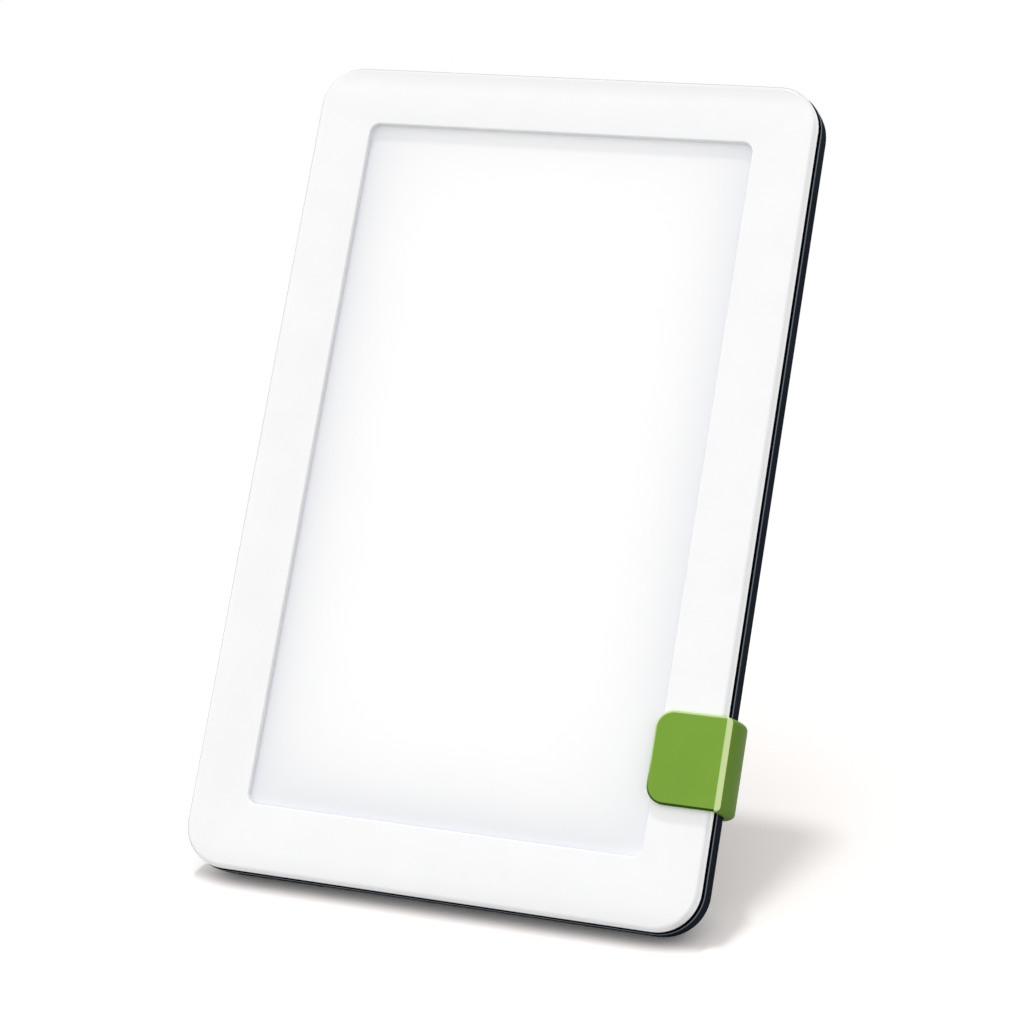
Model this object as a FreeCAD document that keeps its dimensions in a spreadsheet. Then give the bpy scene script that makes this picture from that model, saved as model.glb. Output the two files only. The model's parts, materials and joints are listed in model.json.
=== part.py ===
import FreeCAD, Part
import Sketcher
import os
from math import asin, radians, sin, tan
from FreeCAD import Placement, Rotation, Vector

# A light therapy tablet lamp that leans back on a clip-on stand with a folding leg.
#
# The lamp head is drawn in its own frame: X across, Y up the tablet from its bottom edge,
# Z out of the lit front, so the front is at Z 0 and a depth d lies at Z -d.
# The leg is drawn in a second frame: X along its hinge pin, Y from the pin to the foot,
# Z out of its outer face. The part's own frame stands on the desk: +Z up, the lamp faces -Y,
# and the origin is the middle of the whole lamp's footprint box.

DIMENSIONS = {
    "head_width": 149.0,
    "head_height": 235.7,
    "head_depth": 19.0,
    "lean_angle": 28.0,
    "corner_radius": 12.0,
    "border_width": 17.0,
    "bottom_border": 18.7,
    "window_radius": 3.0,
    "window_edge_radius": 0.4,
    "wall_thickness": 2.0,
    "front_edge_radius": 1.4,
    "seam_depth": 3.2,
    "groove_width": 1.2,
    "groove_inset": 0.8,
    "rim_proud": 0.5,
    "rim_edge_radius": 0.9,
    "rear_radius": 9.0,
    "rib_gap": 0.3,
    "rib_thickness": 1.2,
    "rib_depth": 7.0,
    "panel_overlap": 2.0,
    "diffuser_thickness": 1.5,
    "prism_thickness": 0.3,
    "guide_thickness": 3.0,
    "reflector_thickness": 0.2,
    "chassis_thickness": 1.0,
    "led_thickness": 0.9,
    "led_gap": 0.2,
    "led_length": 3.0,
    "led_width": 2.0,
    "led_count": 30.0,
    "led_pitch": 6.8,
    "strip_thickness": 1.0,
    "strip_length": 203.0,
    "well_gap": 0.3,
    "well_thickness": 1.0,
    "case_screw_inset": 8.0,
    "case_screw_end_inset": 10.0,
    "case_screw_radius": 1.25,
    "case_head_radius": 2.4,
    "case_head_height": 1.8,
    "case_seat_depth": 13.0,
    "case_boss_radius": 3.0,
    "case_boss_depth": 9.0,
    "case_boss_gap": 0.2,
    "counterbore_clearance": 0.3,
    "counterbore_wall": 0.9,
    "shank_clearance": 0.15,
    "screw_tip_gap": 0.3,
    "cross_width": 0.6,
    "cross_reach_share": 0.62,
    "cross_floor_share": 0.4,
    "chassis_screw_up": 62.0,
    "chassis_screw_top": 173.0,
    "chassis_tab_width": 8.0,
    "chassis_tab_margin": 2.5,
    "tab_hole_clearance": 0.2,
    "notch_inner": 2.0,
    "notch_bottom": 10.0,
    "notch_top": 21.0,
    "small_screw_radius": 1.0,
    "small_head_radius": 1.9,
    "small_head_height": 1.3,
    "thread_clearance": 0.01,
    "board_left": 64.0,
    "board_right": 6.0,
    "board_bottom": 19.0,
    "board_top": 61.0,
    "board_front_depth": 10.6,
    "board_thickness": 1.6,
    "board_screw_inset": 4.0,
    "standoff_radius": 2.2,
    "standoff_floor": 0.4,
    "component_edge_radius": 0.8,
    "inductor_left": 18.0,
    "inductor_up": 48.0,
    "inductor_radius": 5.0,
    "inductor_height": 4.0,
    "capacitor_left": 52.0,
    "capacitor_pitch": 8.5,
    "capacitor_up": 26.0,
    "capacitor_radius": 3.15,
    "capacitor_height": 4.4,
    "chip_height": 1.4,
    "plug_left": 26.0,
    "plug_right": 16.0,
    "plug_inset": 2.0,
    "plug_length": 5.0,
    "plug_height": 3.6,
    "inlet_up": 40.0,
    "inlet_depth": 12.6,
    "inlet_hole_radius": 3.6,
    "inlet_recess_radius": 5.6,
    "inlet_recess_depth": 0.9,
    "jack_width": 9.0,
    "jack_depth": 8.2,
    "jack_start": 7.0,
    "jack_length": 11.0,
    "jack_gap": 0.2,
    "jack_front_gap": 0.1,
    "jack_nose_radius": 3.5,
    "jack_nose_inset": 2.5,
    "jack_bore_radius": 2.85,
    "jack_bore_depth": 11.0,
    "contact_radius": 1.0,
    "contact_recess": 1.2,
    "contact_dome_radius": 0.6,
    "contact_root_radius": 1.3,
    "contact_root_length": 2.0,
    "button_left": 40.0,
    "button_up": 45.0,
    "button_radius": 6.0,
    "button_clearance": 0.2,
    "button_proud": 0.6,
    "button_flange_radius": 7.4,
    "button_flange_thickness": 0.8,
    "button_travel": 0.7,
    "flange_gap": 0.1,
    "stem_radius": 1.6,
    "stem_gap": 0.05,
    "button_edge_radius": 0.8,
    "button_dish_depth": 0.3,
    "button_dish_inset": 1.8,
    "switch_width": 6.2,
    "switch_height": 2.0,
    "switch_corner_radius": 0.6,
    "switch_floor": 0.2,
    "plunger_radius": 1.75,
    "plunger_clearance": 0.1,
    "plunger_proud": 0.8,
    "vent_count": 9.0,
    "vent_pitch": 7.0,
    "vent_width": 2.4,
    "vent_end_radius": 1.19,
    "vent_bottom": 184.0,
    "vent_top": 212.0,
    "sole_thickness": 0.5,
    "sole_length": 26.0,
    "sole_middle": 49.0,
    "sole_front": 1.2,
    "sole_back": 5.0,
    "sole_rise": 1.6,
    "clip_bottom": 33.2,
    "clip_top": 58.4,
    "flap_length": 18.2,
    "flap_front": 2.0,
    "flap_gap": 0.25,
    "flap_corner_radius": 5.0,
    "flap_chamfer": 0.5,
    "clip_bevel": 1.4,
    "clip_bevel_drop": 1.1,
    "clip_side": 2.5,
    "clip_blank": 2.0,
    "clip_swell_depth": 7.1,
    "clip_swell_radius": 26.0,
    "clip_end_radius": 1.4,
    "clip_gap": 0.2,
    "clip_plate": 1.8,
    "pad_thickness": 0.55,
    "pad_gap": 0.1,
    "pad_length": 12.0,
    "pad_margin": 4.0,
    "mast_width": 44.0,
    "mast_top": 99.0,
    "mast_plate": 3.0,
    "mast_corner_radius": 8.0,
    "hinge_up": 93.0,
    "hinge_stand_off": 3.4,
    "ear_width": 3.0,
    "ear_radius": 3.2,
    "ear_reach": 5.5,
    "ear_taper": 0.9,
    "pin_radius": 1.25,
    "pin_proud": 0.5,
    "pin_clearance": 0.05,
    "pin_end_radius": 0.3,
    "washer_thickness": 0.3,
    "barrel_radius": 3.0,
    "barrel_gap": 0.4,
    "leg_angle": 56.0,
    "leg_plate": 3.0,
    "leg_inner": 2.9,
    "leg_neck": 9.0,
    "leg_foot_width": 56.0,
    "leg_corner_radius": 3.0,
    "leg_recess_depth": 0.8,
    "leg_recess_width": 24.0,
    "leg_recess_start": 12.0,
    "leg_recess_end": 62.0,
    "leg_recess_radius": 4.0,
    "grip_rib_gap": 2.5,
    "grip_rib_width": 1.0,
    "grip_rib_height": 0.5,
    "grip_rib_span": 4.0,
    "grip_rib_count": 3.0,
    "leg_end_gap": 4.0,
    "heel_gap": 0.2,
    "heel_length": 3.8,
    "shoe_length": 9.0,
    "shoe_wall": 1.0,
    "lead_radius": 0.8,
    "lead_bend": 1.5,
}

# How far a cut runs past the face that it opens, and how far an added shape starts inside
# the material that it grows from.
OVERRUN = 1.0
BITE = 0.5
LINE = "Part::GeomLine"

doc = FreeCAD.newDocument("light_therapy_lamp")
sheet = doc.addObject("Spreadsheet::Sheet", "dim")
for row, (alias, size) in enumerate(DIMENSIONS.items(), start=1):
    sheet.set(f"A{row}", alias)
    sheet.set(f"B{row}", str(size))
    sheet.setAlias(f"B{row}", alias)
doc.recompute()

# Places worked out from the driving dimensions, as expressions on the sheet.
HALF = "dim.head_width/2"
TOP = "dim.head_height"
PANEL_FRONT = "dim.wall_thickness"
PRISM_FRONT = f"({PANEL_FRONT}+dim.diffuser_thickness)"
GUIDE_FRONT = f"({PRISM_FRONT}+dim.prism_thickness)"
REFLECTOR_FRONT = f"({GUIDE_FRONT}+dim.guide_thickness)"
CHASSIS_FRONT = f"({REFLECTOR_FRONT}+dim.reflector_thickness)"
CHASSIS_BACK = f"({CHASSIS_FRONT}+dim.chassis_thickness)"
PANEL_HALF = f"({HALF}-dim.border_width+dim.panel_overlap)"
PANEL_BOTTOM = "(dim.bottom_border-dim.panel_overlap)"
PANEL_TOP = f"({TOP}-dim.border_width+dim.panel_overlap)"
PANEL_MIDDLE = f"(({PANEL_BOTTOM}+{PANEL_TOP})/2)"
STRIP_INNER = f"({PANEL_HALF}+dim.led_gap+dim.led_thickness)"
STRIP_OUTER = f"({STRIP_INNER}+dim.strip_thickness)"
WELL_INNER = f"({STRIP_OUTER}+dim.well_gap)"
WELL_OUTER = f"({WELL_INNER}+dim.well_thickness)"
SCREW_SIDE = f"({HALF}-dim.case_screw_inset)"
INNER_BACK = "(dim.head_depth-dim.wall_thickness)"
BOARD_BACK = "(dim.board_front_depth+dim.board_thickness)"
SWITCH_BACK = f"({BOARD_BACK}+dim.switch_height)"
CLIP_INNER_BACK = "(dim.head_depth+dim.clip_gap)"
ARM_BACK = f"({CLIP_INNER_BACK}+dim.clip_plate)"
MAST_BACK = f"({CLIP_INNER_BACK}+dim.mast_plate)"
HINGE_DEPTH = f"({MAST_BACK}+dim.hinge_stand_off)"
SIN_LEAN = "sin(dim.lean_angle*1deg)"
COS_LEAN = "cos(dim.lean_angle*1deg)"
SIN_LEG = "sin(dim.leg_angle*1deg)"
COS_LEG = "cos(dim.leg_angle*1deg)"
REAR_CENTRE_DEPTH = "(dim.head_depth-dim.rear_radius)"
REAR_CENTRE_UP = "(dim.rear_radius-dim.rim_proud)"
FLOOR_RISE = (
    f"(dim.rear_radius+dim.sole_thickness"
    f"-{REAR_CENTRE_UP}*{COS_LEAN}+{REAR_CENTRE_DEPTH}*{SIN_LEAN})"
)
HINGE_HEIGHT = f"({FLOOR_RISE}+dim.hinge_up*{COS_LEAN}-{HINGE_DEPTH}*{SIN_LEAN})"
LEG_HALF = "(dim.mast_width/2-dim.ear_width-dim.barrel_gap)"
# The desk's own direction in the leg's frame: the leg leans by its opening less the head's lean.
LEG_SPLAY = "(dim.leg_angle-dim.lean_angle)"
LEG_LENGTH = f"({HINGE_HEIGHT}/cos({LEG_SPLAY}*1deg))"
LEG_END = f"({LEG_LENGTH}-dim.leg_end_gap)"
LEG_OUTER = "(dim.leg_plate-dim.leg_inner)"
PLUG_BOTTOM = "(dim.board_bottom+dim.plug_inset)"

# Left side, right side, bottom and top of each chip on the board.
CHIPS = (
    ("-35", "-30", "26", "32"),
    ("-28", "-25", "34", "38"),
    ("-13", "-10", "34", "39"),
)


def value(expression):
    """The number that an expression on the sheet comes to."""
    result = sheet.evalExpression(expression.replace("dim.", ""))
    return float(getattr(result, "Value", result))


def origin_feature(body, role):
    """One of a body's own origin planes or axes."""
    return [item for item in body.Origin.OriginFeatures if item.Role == role][0]


def new_body(label, many=False):
    """An empty body. With many, it may hold separate solids."""
    body = doc.addObject("PartDesign::Body", label)
    body.Label = label
    body.AllowCompound = many
    return body


def hold_point(sketch, geometry, vertex, x, y):
    """Fix a sketch point at a place given by two expressions."""
    for kind, axis, expression in (("DistanceX", -2, x), ("DistanceY", -1, y)):
        size = value(expression)
        if abs(size) < 1e-9:
            sketch.addConstraint(Sketcher.Constraint("PointOnObject", geometry, vertex, axis))
        else:
            place = Sketcher.Constraint(kind, -1, 1, geometry, vertex, size)
            index = sketch.addConstraint(place)
            sketch.setExpression(f"Constraints[{index}]", expression)


def outline(*corners):
    """A closed shape of straight sides through corners given as pairs of expressions."""

    def draw(sketch):
        first = sketch.GeometryCount
        count = len(corners)
        points = [Vector(value(x), value(y), 0) for x, y in corners]
        for n in range(count):
            sketch.addGeometry(Part.LineSegment(points[n], points[(n + 1) % count]))
        for n in range(count):
            after = first + (n + 1) % count
            sketch.addConstraint(Sketcher.Constraint("Coincident", first + n, 2, after, 1))
        for n, (x, y) in enumerate(corners):
            hold_point(sketch, first + n, 1, x, y)

    return draw


def oblong(left, right, bottom, top):
    """A plain rectangle between two sides and two ends."""
    return outline((left, bottom), (right, bottom), (right, top), (left, top))


def rounded(left, right, bottom, top, radius):
    """A rectangle whose four corners are arcs of one radius."""

    def draw(sketch):
        first = sketch.GeometryCount
        low = Vector(value(left), value(bottom), 0)
        high = Vector(value(right), value(top), 0)
        r = value(radius)
        corners = (
            (Vector(high.x - r, low.y + r, 0), -90),
            (Vector(high.x - r, high.y - r, 0), 0),
            (Vector(low.x + r, high.y - r, 0), 90),
            (Vector(low.x + r, low.y + r, 0), 180),
        )
        up = Vector(0, 0, 1)
        arcs = []
        for centre, start in corners:
            circle = Part.Circle(centre, up, r)
            arcs.append(Part.ArcOfCircle(circle, radians(start), radians(start + 90)))
        for n in range(4):
            before = arcs[n - 1]
            sketch.addGeometry(Part.LineSegment(before.EndPoint, arcs[n].StartPoint))
            sketch.addGeometry(arcs[n])
        for n in range(4):
            line = first + 2 * n
            arc_before = first + (2 * n - 1) % 8
            sketch.addConstraint(Sketcher.Constraint("Tangent", arc_before, 2, line, 1))
            sketch.addConstraint(Sketcher.Constraint("Tangent", line, 2, line + 1, 1))
            kind = "Vertical" if n % 2 else "Horizontal"
            sketch.addConstraint(Sketcher.Constraint(kind, line))
            if n:
                sketch.addConstraint(Sketcher.Constraint("Equal", first + 1, line + 1))
        size = sketch.addConstraint(Sketcher.Constraint("Radius", first + 1, r))
        sketch.setExpression(f"Constraints[{size}]", radius)
        for line, kind, axis, expression in (
            (0, "DistanceY", -1, bottom),
            (2, "DistanceX", -2, right),
            (4, "DistanceY", -1, top),
            (6, "DistanceX", -2, left),
        ):
            distance = value(expression)
            if abs(distance) < 1e-9:
                place = Sketcher.Constraint("PointOnObject", first + line, 1, axis)
                sketch.addConstraint(place)
            else:
                place = Sketcher.Constraint(kind, -1, 1, first + line, 1, distance)
                index = sketch.addConstraint(place)
                sketch.setExpression(f"Constraints[{index}]", expression)

    return draw


def disc(x, y, radius):
    """A circle."""

    def draw(sketch):
        centre = Vector(value(x), value(y), 0)
        circle = Part.Circle(centre, Vector(0, 0, 1), value(radius))
        geometry = sketch.addGeometry(circle)
        size = sketch.addConstraint(Sketcher.Constraint("Radius", geometry, value(radius)))
        sketch.setExpression(f"Constraints[{size}]", radius)
        hold_point(sketch, geometry, 3, x, y)

    return draw


def right_of_arc(x, y, radius, far, low, high):
    """The region between an arc and a straight side to its right, from one level to another."""

    def draw(sketch):
        centre = Vector(value(x), value(y), 0)
        r = value(radius)
        levels = (value(low), value(high))
        turns = [asin((level - centre.y) / r) for level in levels]
        arc = Part.ArcOfCircle(Part.Circle(centre, Vector(0, 0, 1), r), *turns)
        bottom = Vector(value(far), levels[0], 0)
        top = Vector(value(far), levels[1], 0)
        first = sketch.addGeometry(arc)
        points = (arc.EndPoint, top, bottom, arc.StartPoint)
        for start, end in zip(points, points[1:]):
            sketch.addGeometry(Part.LineSegment(start, end))
        for n in range(4):
            after = first + (n + 1) % 4
            sketch.addConstraint(Sketcher.Constraint("Coincident", first + n, 2, after, 1))
        size = sketch.addConstraint(Sketcher.Constraint("Radius", first, r))
        sketch.setExpression(f"Constraints[{size}]", radius)
        hold_point(sketch, first, 3, x, y)
        hold_point(sketch, first + 1, 2, far, high)
        hold_point(sketch, first + 2, 2, far, low)
        for line in (first + 1, first + 3):
            sketch.addConstraint(Sketcher.Constraint("Horizontal", line))

    return draw


def extrude(kind, body, name, plane, low, high, profiles):
    """A pad or pocket of some profiles, between two levels along the plane's own axis."""
    sketch = body.newObject("Sketcher::SketchObject", name + "_sketch")
    sketch.AttachmentSupport = (origin_feature(body, plane), [""])
    sketch.MapMode = "FlatFace"
    level = f"-({high})" if plane == "XZ_Plane" else f"({low})"
    sketch.setExpression(".AttachmentOffset.Base.z", level)
    for draw in profiles:
        draw(sketch)
    doc.recompute()
    feature = body.newObject(kind, name)
    feature.Profile = sketch
    feature.setExpression("Length", f"({high})-({low})")
    feature.Reversed = kind == "PartDesign::Pocket"
    sketch.Visibility = False
    doc.recompute()
    return feature


def add(body, name, plane, low, high, *profiles):
    """Material between two levels."""
    return extrude("PartDesign::Pad", body, name, plane, low, high, profiles)


def cut(body, name, plane, low, high, *profiles):
    """Take material away between two levels, and make sure that some went."""
    before = body.Tip.Shape.Volume
    feature = extrude("PartDesign::Pocket", body, name, plane, low, high, profiles)
    if feature.Shape.Volume >= before:
        raise RuntimeError(f"{body.Label}: {name} takes nothing away")
    return feature


def between(front, back):
    """The low and high level of a slab between two depths behind the front."""
    return f"-({back})", f"-({front})"


def fillet(body, name, radius, chosen):
    """Round the edges of the body so far that a test picks."""
    base = body.Tip
    edges = [f"Edge{n}" for n, edge in enumerate(base.Shape.Edges, start=1) if chosen(edge)]
    if not edges:
        raise RuntimeError(f"{body.Label}: no edge for {name}")
    feature = body.newObject("PartDesign::Fillet", name)
    feature.Base = (base, edges)
    feature.setExpression("Radius", radius)
    doc.recompute()
    return feature


def at(**places):
    """A test for edges that lie at the given coordinates, within a small tolerance."""
    levels = {axis.upper(): value(expression) for axis, expression in places.items()}

    def chosen(edge):
        box = edge.BoundBox
        for axis, level in levels.items():
            for end in ("Min", "Max"):
                if abs(getattr(box, axis + end) - level) > 0.01:
                    return False
        return True

    return chosen


def curved_at(beyond, y):
    """A test for curved edges at one level up the head whose far end lies beyond a side."""
    on_level = at(y=y)
    side = value(beyond)
    return lambda edge: on_level(edge) and edge.BoundBox.XMax > side and edge.Curve.TypeId != LINE


def either(*tests):
    """A test that passes an edge when any of several tests does."""
    return lambda edge: any(test(edge) for test in tests)


def chamfer(body, name, size, chosen):
    """Cut a flat along the edges of the body so far that a test picks."""
    base = body.Tip
    edges = [f"Edge{n}" for n, edge in enumerate(base.Shape.Edges, start=1) if chosen(edge)]
    feature = body.newObject("PartDesign::Chamfer", name)
    feature.Base = (base, edges)
    feature.setExpression("Size", size)
    doc.recompute()
    return feature


def repeat(body, name, feature, axis, length, count):
    """A straight row of copies of one feature."""
    row_of = body.newObject("PartDesign::LinearPattern", name)
    row_of.Originals = [feature]
    row_of.Direction = (origin_feature(body, axis), [""])
    row_of.setExpression("Length", length)
    row_of.setExpression("Occurrences", count)
    body.Tip = row_of
    doc.recompute()
    return row_of


def case_screw_places():
    """The six case screws: three up each side."""
    ends = ("dim.case_screw_end_inset", f"{TOP}/2", f"{TOP}-dim.case_screw_end_inset")
    return [(side + SCREW_SIDE, up) for side in ("-", "") for up in ends]


def chassis_screw_places():
    """The four screws that hold the chassis to the front frame."""
    ends = ("dim.chassis_screw_up", "dim.chassis_screw_top")
    return [(side + SCREW_SIDE, up) for side in ("-", "") for up in ends]


def board_screw_places():
    """The four corners of the driver board."""
    inset = "dim.board_screw_inset"
    sides = (f"-(dim.board_left-{inset})", f"-(dim.board_right+{inset})")
    ends = (f"(dim.board_bottom+{inset})", f"(dim.board_top-{inset})")
    return [(side, up) for side in sides for up in ends]


def inset_outline(inset):
    """The head's outline, moved inwards."""
    return rounded(
        f"-({HALF}-({inset}))",
        f"({HALF}-({inset}))",
        f"({inset})",
        f"({TOP}-({inset}))",
        f"(dim.corner_radius-({inset}))",
    )


def panel_outline():
    """The outline that the light panel's layers share."""
    return oblong(f"-{PANEL_HALF}", PANEL_HALF, PANEL_BOTTOM, PANEL_TOP)


def front_frame():
    """White front frame: rounded face, window, locating ribs and screw bosses."""
    body = new_body("front_frame")
    add(body, "face", "XY_Plane", *between("0", "dim.seam_depth"), inset_outline("0"))
    fillet(body, "front_edge", "dim.front_edge_radius", at(z="0"))
    hollow = between("dim.wall_thickness", f"dim.seam_depth+{OVERRUN}")
    cut(body, "hollow", "XY_Plane", *hollow, inset_outline("dim.wall_thickness"))
    inner = "dim.wall_thickness+dim.rib_gap"
    outer_loop = inset_outline(inner)
    inner_loop = inset_outline(f"{inner}+dim.rib_thickness")
    skin = f"dim.wall_thickness-{BITE}"
    rib = between(skin, "dim.rib_depth")
    add(body, "rib", "XY_Plane", *rib, outer_loop, inner_loop)
    well = between(skin, REFLECTOR_FRONT)
    ends = (f"({PANEL_BOTTOM}-dim.well_gap)", f"({PANEL_TOP}+dim.well_gap)")
    outside = oblong(
        f"-{WELL_OUTER}",
        WELL_OUTER,
        f"({ends[0]}-dim.well_thickness)",
        f"({ends[1]}+dim.well_thickness)",
    )
    inside = oblong(f"-{WELL_INNER}", WELL_INNER, *ends)
    add(body, "light_well", "XY_Plane", *well, outside, inside)
    boss = between(skin, "dim.case_boss_depth")
    discs = [disc(x, y, "dim.case_boss_radius") for x, y in case_screw_places()]
    add(body, "case_bosses", "XY_Plane", *boss, *discs)
    short_boss = between(skin, CHASSIS_FRONT)
    discs = [disc(x, y, "dim.case_boss_radius") for x, y in chassis_screw_places()]
    add(body, "chassis_bosses", "XY_Plane", *short_boss, *discs)
    pilot = "(dim.case_screw_radius+dim.thread_clearance)"
    hole = between("dim.seam_depth", f"dim.case_boss_depth+{OVERRUN}")
    discs = [disc(x, y, pilot) for x, y in case_screw_places()]
    cut(body, "case_pilots", "XY_Plane", *hole, *discs)
    pilot = "(dim.small_screw_radius+dim.thread_clearance)"
    hole = between("dim.seam_depth", f"{CHASSIS_FRONT}+{OVERRUN}")
    discs = [disc(x, y, pilot) for x, y in chassis_screw_places()]
    cut(body, "chassis_pilots", "XY_Plane", *hole, *discs)
    window = rounded(
        f"-({HALF}-dim.border_width)",
        f"({HALF}-dim.border_width)",
        "dim.bottom_border",
        f"({TOP}-dim.border_width)",
        "dim.window_radius",
    )
    through = between(f"-{OVERRUN}", f"dim.wall_thickness+{OVERRUN}")
    cut(body, "window", "XY_Plane", *through, window)
    limit = value(f"{HALF}-dim.border_width") + OVERRUN
    level = at(z="0")
    fillet(
        body,
        "window_edge",
        "dim.window_edge_radius",
        lambda edge: level(edge) and edge.BoundBox.XMax < limit and edge.BoundBox.XMin > -limit,
    )
    return body


def panel_layer(label, front, thickness):
    """One flat layer of the light panel."""
    body = new_body(label)
    add(body, "sheet", "XY_Plane", *between(front, f"{front}+{thickness}"), panel_outline())
    return body


def chassis_plate():
    """Metal plate behind the light panel, with screw tabs and standoffs for the board."""
    body = new_body("chassis_plate")
    slab = between(CHASSIS_FRONT, CHASSIS_BACK)
    plate = oblong(f"-{STRIP_OUTER}", STRIP_OUTER, PANEL_BOTTOM, PANEL_TOP)
    add(body, "plate", "XY_Plane", *slab, plate)
    half = "dim.chassis_tab_width/2"
    for n, up in enumerate(("dim.chassis_screw_up", "dim.chassis_screw_top")):
        tab = f"({SCREW_SIDE}+dim.chassis_tab_margin)"
        strap = oblong(f"-{tab}", tab, f"({up}-{half})", f"({up}+{half})")
        add(body, f"tabs_{n}", "XY_Plane", *slab, strap)
    posts = [disc(x, y, "dim.standoff_radius") for x, y in board_screw_places()]
    post = between(f"{CHASSIS_FRONT}+{BITE}", "dim.board_front_depth")
    add(body, "standoffs", "XY_Plane", *post, *posts)
    pilot = "(dim.small_screw_radius+dim.thread_clearance)"
    holes = [disc(x, y, pilot) for x, y in board_screw_places()]
    drill = between(f"{CHASSIS_BACK}+dim.standoff_floor", f"dim.board_front_depth+{OVERRUN}")
    cut(body, "standoff_pilots", "XY_Plane", *drill, *holes)
    hole = "(dim.small_screw_radius+dim.tab_hole_clearance)"
    holes = [disc(x, y, hole) for x, y in chassis_screw_places()]
    drill = between(f"{CHASSIS_FRONT}-{OVERRUN}", f"{CHASSIS_BACK}+{OVERRUN}")
    cut(body, "tab_holes", "XY_Plane", *drill, *holes)
    inner = f"({STRIP_INNER}-dim.notch_inner)"
    outer = f"({STRIP_OUTER}+{OVERRUN})"
    ends = ("dim.notch_bottom", "dim.notch_top")
    notches = [oblong(f"{side}{inner}", f"{side}{outer}", *ends) for side in ("-", "")]
    cut(body, "lead_notches", "XY_Plane", *drill, *notches)
    return body


def led_strip(side, label):
    """Narrow circuit strip standing on edge beside the light guide."""
    body = new_body(label)
    low, high = (f"-{STRIP_OUTER}", f"-{STRIP_INNER}") if side < 0 else (STRIP_INNER, STRIP_OUTER)
    start = f"({PANEL_MIDDLE}-dim.strip_length/2)"
    board = oblong(start, f"({start}+dim.strip_length)", f"-{REFLECTOR_FRONT}", f"-{PRISM_FRONT}")
    add(body, "strip", "YZ_Plane", low, high, board)
    return body


def led_row(side, label):
    """The row of small LEDs on one strip."""
    body = new_body(label, many=True)
    inner = f"({PANEL_HALF}+dim.led_gap)"
    low, high = (f"-{STRIP_INNER}", f"-{inner}") if side < 0 else (inner, STRIP_INNER)
    span = "(dim.led_pitch*(dim.led_count-1))"
    start = f"({PANEL_MIDDLE}-({span}+dim.led_length)/2)"
    middle = f"({GUIDE_FRONT}+dim.guide_thickness/2)"
    package = oblong(
        start,
        f"({start}+dim.led_length)",
        f"-({middle}+dim.led_width/2)",
        f"-({middle}-dim.led_width/2)",
    )
    first = add(body, "package", "YZ_Plane", low, high, package)
    repeat(body, "row", first, "Y_Axis", span, "dim.led_count")
    return body


def driver_board():
    """Circuit board with a notch for the power jack and four screw holes."""
    body = new_body("driver_board")
    slab = between("dim.board_front_depth", BOARD_BACK)
    sides = ("-dim.board_left", "-dim.board_right", "dim.board_bottom", "dim.board_top")
    add(body, "board", "XY_Plane", *slab, oblong(*sides))
    through = between(f"dim.board_front_depth-{OVERRUN}", f"{BOARD_BACK}+{OVERRUN}")
    reach = f"({HALF}-dim.jack_start-dim.jack_length-dim.jack_gap)"
    half = "(dim.jack_width/2+dim.jack_gap)"
    ends = (f"dim.inlet_up-{half}", f"dim.inlet_up+{half}")
    notch = oblong(f"-(dim.board_left+{OVERRUN})", f"-{reach}", *ends)
    cut(body, "jack_notch", "XY_Plane", *through, notch)
    hole = "(dim.small_screw_radius+dim.shank_clearance)"
    holes = [disc(x, y, hole) for x, y in board_screw_places()]
    cut(body, "screw_holes", "XY_Plane", *through, *holes)
    return body


def board_part(label, height, *profiles, soften=None):
    """Something soldered to the back of the board."""
    body = new_body(label, many=len(profiles) > 1)
    add(body, "block", "XY_Plane", *between(BOARD_BACK, f"{BOARD_BACK}+{height}"), *profiles)
    if soften:
        fillet(body, "top_edge", soften, at(z=f"-({BOARD_BACK}+{height})"))
    return body


def power_jack():
    """Round power inlet: a block in the board's notch with a nose towards the wall."""
    body = new_body("power_jack")
    start = f"-({HALF}-dim.jack_start)"
    end = f"-({HALF}-dim.jack_start-dim.jack_length)"
    half = "dim.jack_width/2"
    deep = "dim.jack_depth/2"
    block = oblong(
        f"dim.inlet_up-{half}",
        f"dim.inlet_up+{half}",
        f"-(dim.inlet_depth+{deep}-dim.jack_front_gap)",
        f"-(dim.inlet_depth-{deep})",
    )
    add(body, "block", "YZ_Plane", start, end, block)
    tip = f"-({HALF}-dim.jack_nose_inset)"
    nose = disc("dim.inlet_up", "-dim.inlet_depth", "dim.jack_nose_radius")
    add(body, "nose", "YZ_Plane", tip, f"{start}+{BITE}", nose)
    bore = disc("dim.inlet_up", "-dim.inlet_depth", "dim.jack_bore_radius")
    cut(body, "bore", "YZ_Plane", f"{tip}-{OVERRUN}", f"{tip}+dim.jack_bore_depth", bore)
    seat = disc("dim.inlet_up", "-dim.inlet_depth", "dim.contact_root_radius")
    root = f"{tip}+dim.jack_bore_depth+dim.contact_root_length"
    cut(body, "contact_seat", "YZ_Plane", tip, root, seat)
    return body


def power_jack_contact():
    """Centre contact of the power inlet, with a domed end."""
    body = new_body("power_jack_contact")
    tip = f"-({HALF}-dim.jack_nose_inset-dim.contact_recess)"
    floor = f"-({HALF}-dim.jack_nose_inset-dim.jack_bore_depth)"
    pin = disc("dim.inlet_up", "-dim.inlet_depth", "dim.contact_radius")
    add(body, "pin", "YZ_Plane", tip, floor, pin)
    fillet(body, "dome", "dim.contact_dome_radius", at(x=tip))
    root = disc("dim.inlet_up", "-dim.inlet_depth", "dim.contact_root_radius")
    add(body, "root", "YZ_Plane", floor, f"{floor}+dim.contact_root_length", root)
    return body


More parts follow.
